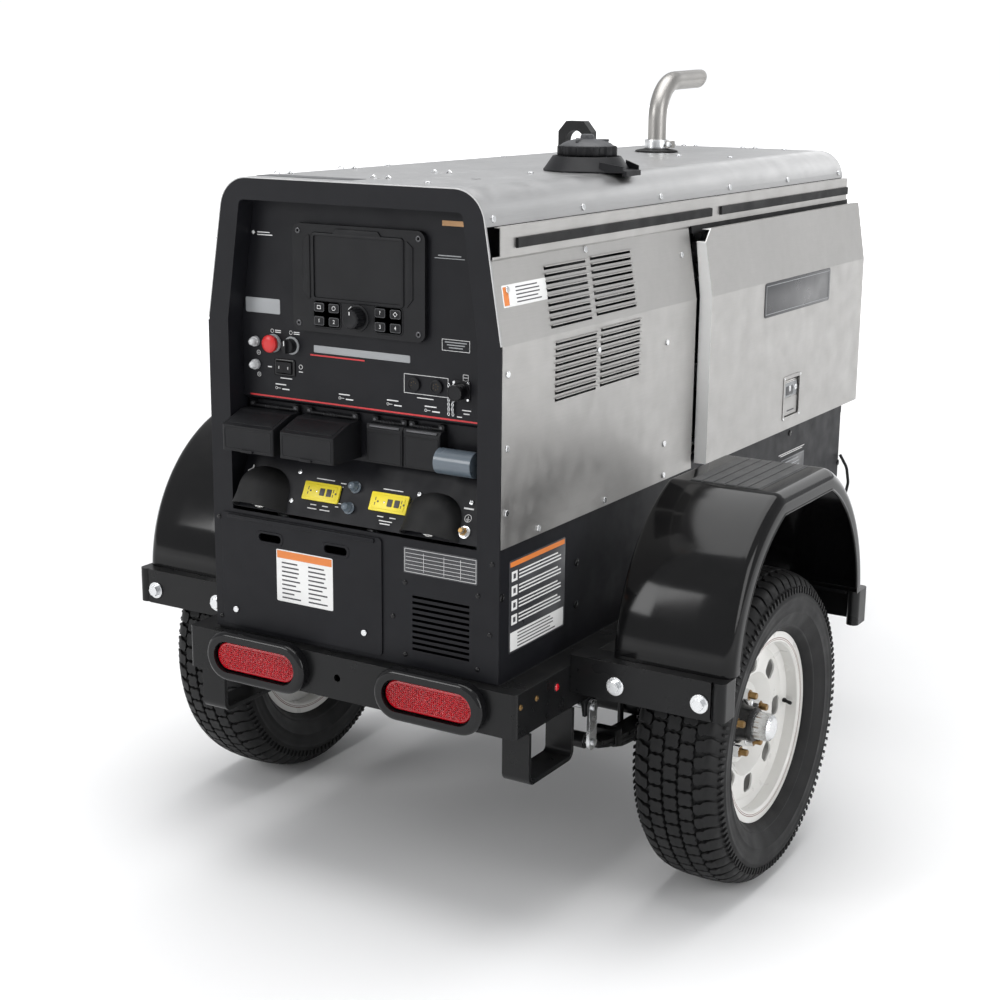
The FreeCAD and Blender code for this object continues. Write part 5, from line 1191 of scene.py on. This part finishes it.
def labels():
    """Blank stickers with coloured bands and bars in place of words."""
    build = Build("labels")
    side_label = on_side(1, 307.5, 134.5, 614.5)
    build.block(195, 167, 0, 0.35, "dark_film", side_label, bevel=0.1, radius=4)
    bar(build, side_label, 0, 76, 189, 9, "orange_ink", 0.5)
    for row in range(4):
        bar(build, side_label, -80, 54 - 26 * row, 19, 18, "white_film", 0.5)
        bar(build, side_label @ Matrix.Translation((0, 0, 0.3)), -80, 54 - 26 * row, 8, 9, "dark_ink", 0.4)
        rows(build, side_label @ Matrix.Translation((16, 54 - 26 * row, 0.2)), 176, 19, 3, "white_film",
             margin=0.04, line=0.42)
    bar(build, side_label, 0, -63, 186, 34, "white_film", 0.5)
    rows(build, side_label @ Matrix.Translation((0, -63, 0.3)), 180, 30, 5)
    drawer = on_face(-99.5, -3.2, 610)
    build.block(127, 98, 0, 0.35, "white_film", drawer, bevel=0.1, radius=3)
    bar(build, drawer, 0, 40, 123, 14, "orange_ink", 0.5)
    for i in (-1, 1):
        rows(build, drawer @ Matrix.Translation((i * 30, -8, 0)), 56, 74, 9)
    plate = on_face(191, 0, 681.5)
    build.block(152, 47, 0, 0.5, "dark_film", plate, bevel=0.2, radius=3)
    outline_box(build, plate @ Matrix.Translation((0, 0, 0.4)), 147, 42, 0.8)
    for i in range(5):
        bar(build, plate @ Matrix.Translation((0, 0, 0.3)), 0, 13 - 6.8 * i, 143, 0.7)
    for x in (-34, 8, 42):
        bar(build, plate @ Matrix.Translation((0, 0, 0.3)), x, -1, 0.7, 34)
    sticker = on_lean(1, 95.5, 1149.5)
    build.block(145, 37, 0, 0.35, "white_film", sticker, bevel=0.1, radius=3)
    bar(build, sticker, -61, 0, 16, 31, "orange_ink", 0.5)
    rows(build, sticker @ Matrix.Translation((14, 0, 0)), 112, 31, 5)
    for side in (1, -1):
        decal = on_side(side, 307.5, 1357, 654)
        for z, length in ((9, 152), (5, 130)):
            build.block(length, 1.8, 0, 0.35, "white_film", decal @ Matrix.Translation((side * -63, z, 0)),
                        radius=0.6)
        block = decal @ Matrix.Translation((side * -54, -30.5, 0))
        build.block(138, 53, 0, 0.3, "dark_film", block, bevel=0.1, radius=3)
        outline_box(build, block @ Matrix.Translation((0, 0, 0.2)), 134, 49, 1.2, "grey_ink")
        rows(build, block @ Matrix.Translation((0, 0, 0.2)), 130, 42, 5, "grey_ink")
    tank_mark = on_roof(118, 640, 1324)
    build.block(46, 30, 0, 0.35, "green_ink", tank_mark, bevel=0.1, radius=3)
    outline_box(build, tank_mark @ Matrix.Translation((0, 0, 0.2)), 40, 24, 1.2)
    build.block(210, 46, 0, 0.35, "dark_film", on_roof(-120, 60, 1324), bevel=0.1, radius=4)
    build.done("chassis")


def dark_strips():
    """Dark rubber strips: the one along each rail sits in the gap under the body's edge as painted shade; the
    other closes the joint over the doors.
    """
    build = Build("shade_gap_and_door_strips")
    for side in (-1, 1):
        # Strip along the rail under the body's edge: painted shade of the gap.
        build.prism([(side * 303, 478), (side * 308.9, 478), (side * 308.9, 484.2), (side * 303, 484.2)],
                    -1230, -4, "rubber",
                    plane_at((0, 0, 0), (1, 0, 0), (0, 0, 1)))
        build.prism([(side * 284, 1197), (side * 289.6, 1197), (side * 287.6, 1213), (side * 284, 1213)],
                    -1617, -757,
                    "rubber", plane_at((0, 0, 0), (1, 0, 0), (0, 0, 1)))
    build.done("chassis")


def plugs_and_slots():
    """Snap-in plugs on the sides and the face, and the drawer's hand slots."""
    build = Build("snap_plugs")
    cap = [(7.2, 0), (7.0, 1.4), (5.2, 2.4), (0, 2.8)]
    for side in (-1, 1):
        for y, z in ((275, 640), (275, 560), (12, 640), (1378, 603), (1600, 577), (1278, 706), (640, 680)):
            build.lathe(cap, "gloss_plastic", on_side(side, 307.5, y, z), steps=24)
    for x, z in ((118, 640), (268, 640), (118, 508), (268, 508), (296, 700), (-298, 700), (-298, 508),
                 (92, 574), (292, 574)):
        build.lathe([(4.6, 0), (4.4, 1.4), (3, 2.2), (0, 2.4)], "gloss_plastic", on_face(x, 0, z), steps=20)
    build.done("chassis")
    slots = Build("drawer_slots")
    for x in (-177, -29):
        face = on_face(x, -3.2, 676)
        outer, inner = round_rect(60, 24, 9), round_rect(51, 15, 7.4)
        rings = [[(px, py, 0) for px, py in outer], [(px, py, 1.4) for px, py in round_rect(58, 22, 8.4)],
                 [(px, py, 1.4) for px, py in inner], [(px, py, -3) for px, py in inner],
                 [(px, py, -3) for px, py in outer]]
        slots.rings(rings + [rings[0]], "satin_black", face)
    slots.block(330, 8, 0, 3, "satin_black", on_face(-110, -3.2, 706), bevel=1.0, radius=2)
    slots.done("drawer")


# ---- wheels' hubs -------------------------------------------------------------------------------
def hub_details(side, wheel):
    """Grease cap with ribs, lug nuts, brass studs and a tyre valve."""
    build = Build(wheel + "_cap")
    turn = Matrix.Translation((side * WHEEL_X, AXLE_Y, AXLE_Z)) @ Matrix.Rotation(side * math.pi / 2, 4, "Y")
    build.lathe([(25.8, 36), (26.8, 38), (26.8, 59), (25.4, 66), (20, 70.6), (0, 71.6)], "zinc", turn,
                steps=120,
                flutes=24, depth=0.03)
    build.lathe([(33.4, 28), (34, 31), (31.5, 36), (26, 37.5)], "coupler_paint", turn)
    for i in range(5):
        around = Matrix.Rotation(2 * math.pi * i / 5, 4, "Z") @ Matrix.Translation((-side * 57.15, 0, 0))
        place = turn @ around
        build.hex(12.2, 4.8, 20, "zinc", place)
        build.lathe([(13.6, 4.6), (13.6, 6.4), (12, 8.2), (10, 8.2)], "zinc", place, steps=28)
        build.lathe([(6.8, 18), (6.8, 33), (5.6, 35), (0, 35)], "brass", place, steps=24)
    valve = turn @ Matrix.Translation((0, 158, 24))
    build.lathe([(4.6, 0), (4.2, 8), (3.2, 11), (3.0, 18), (3.5, 18.5), (3.5, 25), (2.4, 26), (0, 26)],
                "rubber",
                valve @ Matrix.Rotation(math.radians(28), 4, "X"), steps=20)
    return build.done(wheel)


def tyre_hairs(side, wheel):
    """Thin moulding hairs at the tyre's edges."""
    build = Build(wheel + "_hairs")
    for i in range(46):
        angle = 2 * math.pi * (i + random.uniform(-0.3, 0.3)) / 46
        for edge in (-1, 1):
            reach = random.uniform(2.5, 5.5)
            lean = random.uniform(-0.5, 0.5)
            root = Vector((side * WHEEL_X + edge * 84.5, AXLE_Y + 270 * math.cos(angle),
                           AXLE_Z + 270 * math.sin(angle)))
            tip = root + Vector((edge * reach, lean * reach, lean * reach * 0.6))
            build.pipe([root, (root + tip) / 2 + Vector((0, 0, 0.4)), tip], 0.4, "tyre", steps=5)
    return build.done(wheel)


# ---- frame hardware -----------------------------------------------------------------------------
def trailer_plug():
    """Flat lighting plug hanging at the tongue, its cable and the lamps' leads."""
    build = Build("lighting_plug")
    path = smooth_path([(60, 2108, 395), (48, 2140, 388), (34, 2178, 378), (30, 2206, 356), (30, 2220, 336)],
                       8)
    build.pipe(path, 3.7, "hose")
    place = plane_at((30, 2220, 338), (1, 0, 0), (0, 1, 0))
    build.block(38, 15, -34, 0, "rubber", place, bevel=0.0, radius=4)
    for i in range(4):
        build.lathe([(3.4, -46), (3.4, -32), (2, -32)], "rubber" if i else "brass",
                    place @ Matrix.Translation((-13.5 + 9 * i, 0, 0)), steps=18)
    for side in (-1, 1):
        lead = smooth_path([(side * 190, 14, 445), (side * 190, 40, 440), (side * 230, 70, 420),
                            (side * 300, 90, 410)], 8)
        build.pipe(lead, 3.0, "hose", steps=8)
    build.done("chassis")


def coupler_hardware():
    """Bolts with washers and nuts through the tongue, and four nuts on its left side."""
    build = Build("coupler_bolts")
    for side in (-1, 1):
        for y in (2205, 2165):
            place = on_side(side, 38.0, y, 445)
            build.lathe([(13, 0), (13, 2.4), (8, 2.4)], "zinc", place, steps=28)
            build.hex(11, 2.2, 10, "zinc", place)
            build.lathe([(6, 9.8), (6, 15), (5, 16), (0, 16)], "zinc", place, steps=20)
    for s in (-1, 1):
        for dz in (-36, 36):
            place = on_side(-1, 50.0, 2010 + s * 36, 444 + dz)
            build.hex(8, 0.2, 6, "zinc", place)
    build.done("chassis")


def axle_hardware():
    """Nuts and threaded ends of the U-bolts under the springs."""
    build = Build("axle_nuts")
    for side in (-1, 1):
        for offset in (-31, 31):
            for reach in (-36, 36):
                place = plane_at((side * 334 + offset, AXLE_Y + reach, 239.4), (1, 0, 0), (0, -1, 0))
                build.hex(10.5, 0, 9.6, "zinc", place)
                build.lathe([(6.1, 9), (6.1, 19), (5, 20), (0, 20)], "zinc", place, steps=20)
    return build.done("axle")


# ---- machinery behind the doors -----------------------------------------------------------------
def engine_dressing():
    """Ports, pulleys, belt, filters, injector pipes, hoses and starter of the engine."""
    build = Build("engine_dressing")
    for i in range(3):
        y = 950 + 140 * i
        for side in (-1, 1):
            build.block(70, 44, 0, 26, "engine_iron", on_side(side, 110, y, 995), bevel=3, radius=8)
            for dy in (-28, 28):
                build.hex(7, 26, 32, "zinc", on_side(side, 110, y + dy, 995))
        injector = on_roof(0, y, 0)
        build.lathe([(14, 1074), (14, 1084), (8, 1086), (8, 1100), (5, 1104), (0, 1104)], "zinc", injector,
                    steps=24)
        line = smooth_path([(0, y, 1098), (46, y + 6, 1108), (104, y + 20, 1070), (134, 1040 + 18 * i, 980),
                            (160, 1040 + 18 * i, 890)], 8)
        build.pipe(line, 3.2, "zinc", steps=8)
    build.block(150, 62, 0, 56, "cast_alloy", on_side(1, 150, 1058, 868), bevel=5, radius=12)
    for side, y, z in ((1, 1250, 760), (-1, 1000, 720)):
        place = on_side(side, 150, y, z)
        build.lathe([(24, 0), (24, 12), (38, 16), (40, 22), (40, 92), (36, 98), (14, 100), (0, 100)],
                    "filter_white" if side > 0 else "orange_plastic", place, steps=48)
    runs = ((0, 740, 78), (0, 960, 52), (-140, 860, 42))
    for x, z, radius in runs:
        pulley = plane_at((x, 1352, z), (-1, 0, 0), (0, 0, 1))
        build.lathe([(0, -22), (20, -22), (20, -6), (radius, -5), (radius, -1), (radius - 7, 3), (radius, 7),
                     (radius, 11),
                     (14, 11), (0, 12)], "machine_steel", pulley, steps=56)
    hull = []
    for x, z, radius, a0, a1 in ((0, 740, 76, 205, 358), (0, 960, 50, 0, 90), (-140, 860, 40, 115, 205)):
        hull += [(px, 1349, pz) for px, pz in arc(x, z, radius, a0, a1, 14)]
    build.pipe(hull + hull[:2], 5.0, "rubber", steps=8)
    alternator = plane_at((-140, 1340, 860), (1, 0, 0), (0, 0, 1))
    build.lathe([(0, 0), (50, 0), (58, 8), (60, 20), (60, 82), (50, 94), (0, 94)], "cast_alloy", alternator,
                steps=48,
                flutes=12, depth=0.03)
    starter = plane_at((196, 1010, 668), (1, 0, 0), (0, 0, 1))
    build.lathe([(0, 0), (34, 0), (36, 6), (36, 120), (28, 128), (0, 128)], "engine_iron", starter, steps=40)
    build.lathe([(0, 4), (18, 4), (19, 8), (19, 80), (0, 84)], "zinc",
                starter @ Matrix.Translation((0, 48, 0)), steps=32)
    top = smooth_path([(40, 1310, 1040), (40, 1370, 1060), (70, 1430, 1150), (120, 1475, 1160)], 10)
    low = smooth_path([(-90, 1330, 700), (-130, 1390, 660), (-170, 1440, 590), (-180, 1475, 582)], 10)
    for path in (top, low):
        build.pipe(path, 20.0, "hose", steps=20)
    air = smooth_path([(195, 996, 1010), (190, 960, 1010), (150, 930, 1012), (108, 950, 1010)], 10)
    build.pipe(air, lambda t: 27 + 1.2 * math.cos(t * 150), "hose", steps=24)
    for y in (1030, 1130, 1230):
        build.lathe([(65.4, -4), (67.6, -4), (67.6, 4), (65.4, 4), (65.4, -4)], "zinc",
                    plane_at((195, y, 1010), (1, 0, 0), (0, 0, 1)), steps=56)
    harness = smooth_path([(230, 880, 930), (215, 1000, 905), (225, 1150, 900), (180, 1300, 930),
                           (60, 1340, 1010)], 10)
    build.pipe(harness, 9.0, "hose", steps=12)
    for x in (-154, 154):
        for y in (880, 990, 1100, 1210, 1300):
            build.hex(8, 0, 7, "zinc", on_side(1 if x > 0 else -1, 150, y, 630))
    build.done("chassis")


def cooling_details():
    """Radiator fins, tubes, filler neck and the belt-driven fan's blades."""
    build = Build("radiator_fins")
    for i in range(44):
        z = 612 + 11.8 * i
        for y in (1474.2, 1515.8):
            build.block(462, 2.0, -1.4, 1.4, "cast_alloy", on_face(0, y, z))
    for i in range(23):
        x = -228 + 20.7 * i
        build.block(3.0, 520, -1.2, 1.2, "machine_steel", on_face(x, 1474.6, 866))
    neck = on_roof(150, 1495, 0)
    build.lathe([(22, 1174), (22, 1184), (30, 1186), (32, 1192), (30, 1199), (0, 1201)], "zinc", neck,
                steps=40)
    centre = Vector((0, 1415, 865))
    for i in range(7):
        turn = Matrix.Rotation(2 * math.pi * i / 7, 4, "Y")
        blade = [[(20, -14, -24), (24, 12, 24), (26, 14, 24), (22, -12, -24)],
                 [(110, -20, -44), (114, 16, 40), (116, 18, 40), (112, -18, -44)],
                 [(192, -14, -50), (194, 8, 36), (196, 10, 36), (194, -12, -50)]]
        build.rings([[tuple(centre + turn @ Vector(p)) for p in ring] for ring in blade], "tank_plastic")
    build.lathe([(0, -30), (44, -30), (46, 0), (40, 22), (0, 26)], "tank_plastic",
                plane_at(centre, (1, 0, 0), (0, 0, 1)), steps=48)
    build.done("chassis")


def power_details():
    """Cables, fans and terminals of the inverter, generator and battery."""
    build = Build("power_wiring")
    for x in (-120, 120):
        fan = on_side(1, 240, 160 + (x + 120) * 0.5, 945)
        build.lathe([(46, 0), (46, 12), (42, 13), (40, 3), (14, 3), (12, 8), (0, 9)], "tank_plastic", fan,
                    steps=48)
        for i in range(7):
            turn = fan @ Matrix.Rotation(2 * math.pi * i / 7, 4, "Z")
            build.block(28, 9, 4, 6, "tank_plastic", turn @ Matrix.Translation((26, 3,
                0)) @ Matrix.Rotation(0.35, 4, "X"))
    for i in range(9):
        a = math.pi * (0.15 + 0.7 * i / 8)
        for s in (-1, 1):
            place = plane_at((s * 168 * math.cos(a * 0.5 + 0.6), 428, 740 + 168 * math.sin(a - 1.57)),
                             (1, 0, 0), (0, 0, 1))
            build.hex(6.5, 0, 6, "zinc", place)
    for i in range(22):
        a = 2 * math.pi * i / 22
        root = Vector((150 * math.cos(a), 664, 740 + 150 * math.sin(a)))
        loop = smooth_path([root, root + Vector((0, 22, 0)),
                            root * 1.0 + Vector((-18 * math.sin(a), 24, 18 * math.cos(a))),
                            root + Vector((-22 * math.sin(a), 0, 22 * math.cos(a)))], 5)
        build.pipe(loop, 9.0, "copper", steps=10)
    for look, path in (("red_plastic", [(120, 440, 800), (210, 400, 840), (225, 330, 800), (200, 120, 780),
                                        (165, 66, 752)]),
                       ("hose", [(-110, 440, 800), (-200, 400, 850), (-230, 300, 780), (-215, 120, 770),
                                 (-205, 66, 752)]),
                       ("hose", [(60, 920, 640), (90, 800, 560), (120, 560, 540), (140, 400, 530),
                                 (180, 340, 540)])):
        build.pipe(smooth_path(path, 10), 8.0, look, steps=14)
    build.done("chassis")
    cells = Build("battery_top")
    for i in range(6):
        place = on_roof(-200 + 35 * i, 170, 684)
        cells.lathe([(11, 0), (11, 4), (9.4, 5.4), (0, 5.4)], "yellow_plastic", place, steps=24)
    for x, look in ((-215, "red_plastic"), (-10, "hose")):
        place = on_roof(x, 90, 684)
        cells.lathe([(14, 6), (14, 15), (10, 17), (0, 17)], "machine_steel", place, steps=24)
        cells.pipe(smooth_path([(x, 90, 694), (x + 6, 130, 697), (x + 20, 200, 690), (x + 24, 250, 640),
                                (x + 10, 300, 570)],
                               8), 7.0, look, steps=12)
    cells.block(250, 16, 0, 5, "zinc", on_roof(-112, 214, 684), bevel=1, radius=3)
    cells.done("drawer")


def rear_details():
    """Mesh behind the air outlet, its rivets and a lifting-eye collar on the roof."""
    build = Build("rear_mesh")
    for i in range(41):
        build.block(1.2, 412, 0, 1.2, "machine_steel", on_face(-208 + 10.4 * i, 1598.5, 1002))
        build.block(416, 1.2, 1.2, 2.2, "machine_steel", on_face(0, 1598.5, 800 + 10.1 * i))
    back = plane_at((0, 1604, 0), (-1, 0, 0), (0, 0, 1))
    for x in (-240, 240):
        for z in (770, 900, 1030, 1160):
            build.lathe([(6, 0), (5.6, 2), (3, 3.1), (0, 3.3)], "zinc", back @ Matrix.Translation((x, z, 0)),
                        steps=24)
    for z in (786, 1218):
        build.block(440, 5, 0, 3.2, "satin_black", back @ Matrix.Translation((0, z, 0)), bevel=1.2, radius=2)
    build.done("chassis")
    collar = Build("roof_collars")
    ring_a, ring_b = round_rect(96, 44, 8), round_rect(80, 28, 4)
    rings = [[(px, py, h) for px, py in ring] for ring, h in ((ring_a, 0.2), (ring_a, 2.2), (ring_b, 3.4),
                                                              (ring_b, 0.2))]
    collar.rings(rings + [rings[0]], "rubber", on_roof(0, 805, 1324))
    for x, y in ((-219, 114), (-219, 309), (-7, 114), (-9, 311), (-112, 1585), (45, 1585)):
        for s in (-1, 1):
            clip = [(x + s * 9, y - 2, 1322), (x + s * 13, y - 2, 1327.4), (x + s * 17, y - 2, 1328.4),
                    (x + s * 22, y - 2, 1324.6)]
            collar.pipe(smooth_path(clip, 4), 1.5, "zinc", steps=8)
    collar.done("chassis")


# ---- stage --------------------------------------------------------------------------------------
def make_floor():
    """Pale round floor that fades into the white backdrop."""
    mesh = bmesh.new()
    bmesh.ops.create_circle(mesh, cap_ends=True, radius=60.0, segments=128)
    data = bpy.data.meshes.new("floor")
    mesh.to_mesh(data)
    mesh.free()
    floor = bpy.data.objects.new("floor", data)
    bpy.context.scene.collection.objects.link(floor)
    look = Look("floor_paper")
    tone = look.mix(look.noise(0.8, 3.0), (0.86, 0.86, 0.86, 1), (0.88, 0.88, 0.88, 1))
    x, y, z = look.axes()
    away = look.math("SQRT", look.math("ADD", look.math("MULTIPLY", x, x), look.math("MULTIPLY", y, y)))
    fade = look.span(away, 2.5, 9.0, 0.0, 1.0)
    floor.data.materials.append(look.set(Base_Color=tone, Roughness=0.85, Specular_IOR_Level=0.1,
                                         Emission_Color=(1.0, 1.0, 1.0, 1.0), Emission_Strength=fade))


def area_light(name, place, aim, width, height, power, tint=(1.0, 1.0, 1.0)):
    data = bpy.data.lights.new(name, "AREA")
    data.shape = "RECTANGLE"
    data.size, data.size_y = width, height
    data.energy = power
    data.color = tint
    lamp = bpy.data.objects.new(name, data)
    lamp.location = place
    lamp.rotation_mode = "QUATERNION"
    lamp.rotation_quaternion = (Vector(aim) - Vector(place)).to_track_quat("-Z", "Y")
    bpy.context.scene.collection.objects.link(lamp)


def make_light():
    """White backdrop for the camera, a dimmer dome for the object, and four soft boxes."""
    world = bpy.data.worlds.new("studio")
    world.use_nodes = True
    tree = world.node_tree
    dome = tree.nodes["Background"]
    dome.inputs["Color"].default_value = (0.97, 0.98, 1.0, 1.0)
    rays = tree.nodes.new("ShaderNodeLightPath")
    level = tree.nodes.new("ShaderNodeMapRange")
    level.inputs["To Min"].default_value = 0.6
    level.inputs["To Max"].default_value = 1.05
    tree.links.new(rays.outputs["Is Camera Ray"], level.inputs["Value"])
    tree.links.new(level.outputs["Result"], dome.inputs["Strength"])
    bpy.context.scene.world = world
    area_light("top_softbox", (0.0, -0.4, 5.0), (0.0, 0.0, 0.5), 4.0, 5.0, 215)
    area_light("left_softbox", (-4.5, -7.5, 4.2), (0.0, -0.6, 0.8), 3.0, 3.0, 190)
    area_light("right_softbox", (6.5, -1.5, 2.8), (0.3, 0.0, 0.7), 2.4, 4.0, 120)
    area_light("rear_softbox", (0.5, 7.0, 3.2), (0.0, 0.0, 0.8), 6.0, 3.0, 65)


def make_camera():
    """Studio view of the control face and the fuel-cap side."""
    data = bpy.data.cameras.new("camera")
    data.lens = 63.88
    data.sensor_width = 36.0
    camera = bpy.data.objects.new("camera", data)
    yaw, pitch, roll = math.radians(31.16), math.radians(13.97), math.radians(0.57)
    ahead = Vector((-math.sin(yaw) * math.cos(pitch), math.cos(yaw) * math.cos(pitch), -math.sin(pitch)))
    right = Vector((math.cos(yaw), math.sin(yaw), 0.0))
    up = right.cross(ahead)
    tilted_right = right * math.cos(roll) + up * math.sin(roll)
    tilted_up = up * math.cos(roll) - right * math.sin(roll)
    turn = Matrix((tilted_right, tilted_up, -ahead)).transposed().to_4x4()
    camera.matrix_world = Matrix.Translation(spot(1795.5, -2456.8, 1528.5)) @ turn
    bpy.context.scene.collection.objects.link(camera)
    bpy.context.scene.camera = camera
    bpy.context.scene.view_settings.view_transform = "Standard"




# ---- assembly -----------------------------------------------------------------------------------
def paint_nodes():
    """Second finishes on parts of CAD nodes, told apart by where their faces lie."""
    for side, hub in ((1, "hub_right"), (-1, "hub_left")):
        outward = side * (WHEEL_X + 37) * MM
        paint_where(hub, "zinc", lambda c, n, s=side, x=outward: s * c.x > s * x)
        middle = spot(side * WHEEL_X, AXLE_Y, AXLE_Z)

        def near_studs(c, n, s=side, m=middle):
            reach = math.hypot(c.y - m.y, c.z - m.z)
            return s * (c.x - m.x) > 0.003 and 0.045 < reach < 0.072
        paint_where(hub, "brass", near_studs)
    for door in ("door_left", "door_right"):
        # The fold at each door's front, which faces the front lamps, gets the lighter steel: painted light.
        paint_where(door, "painted_lit_steel", lambda c, n: n.y < -0.6 and c.y < spot(0, DOOR_FRONT + 34, 0).y)
    face = spot(0, PANEL_Y, 0).y
    paint_where("panel_fittings", "clear_cap", lambda c, n: c.x < -0.2 and c.z > 0.95)
    paint_where("panel_fittings", "moulded_black", lambda c, n: c.x > 0.08 and c.z > 0.95)
    paint_where("panel_fittings", "dust_cap", lambda c,
                n: c.x > 0.16 and 0.83 < c.z < 0.9 and c.y < face + 0.04)
    paint_where("outlets", "yellow_plastic", lambda c, n: c.z < 0.8)
    paint_where("keypad", "moulded_grey", lambda c, n: n.y < -0.9)
    paint_where("light_housings", "rubber", lambda c, n: c.y > spot(0, -24, 0).y)
    paint_where("screws", "dark_screw", lambda c, n: c.y < spot(0, 1, 0).y and abs(c.x) < 0.28 and c.z > 0.6)
    paint_where("engine", "cast_alloy", lambda c, n: c.z > 1.03)
    paint_where("engine", "tank_plastic", lambda c, n: c.x > 0.128 and c.z > 0.94)
    paint_where("generator", "copper", lambda c, n: math.hypot(c.x, c.z - 0.74) < 0.1815 and abs(n.y) > 0.9
                and spot(0, 500, 0).y < c.y < spot(0, 700, 0).y)
    paint_where("inverter_module", "cast_alloy", lambda c, n: c.z > 1.091)
    paint_where("jack_handle", "moulded_black", lambda c, n: c.z > 0.75)


def assemble():
    dress_nodes()
    paint_nodes()
    for side, wheel, node in ((1, "wheel_right", "tyre_right"), (-1, "wheel_left", "tyre_left")):
        tyre(side, node)
        tyre_hairs(side, wheel)
        hub_details(side, wheel)
    for side in (1, -1):
        fender(side)
        step_pad(side)
        tail_lens(side)
        for end in (-1, 1):
            leaf_spring_half(side, end)
    bumper_details()
    weld_beads()
    panel_print()
    display_details()
    key_caps()
    knob_details()
    switch_details()
    remote_sockets()
    outlet_panel()
    breaker_boot("breaker_upper", -10, 786)
    breaker_boot("breaker_lower", -13, 751)
    cover_hinges()
    cover_details()
    stud_cover("stud_cover_left", -205, ("stud_covers",))
    stud_cover("stud_cover_right", 165, ())
    weld_studs()
    fuel_cap()
    fuel_filler()
    exhaust_details()
    door_details(1, "door_right", "latch_right")
    door_details(-1, "door_left", "latch_left")
    labels()
    dark_strips()
    plugs_and_slots()
    trailer_plug()
    coupler_hardware()
    axle_hardware()
    engine_dressing()
    cooling_details()
    power_details()
    rear_details()
    make_floor()
    make_light()
    make_camera()


assemble()
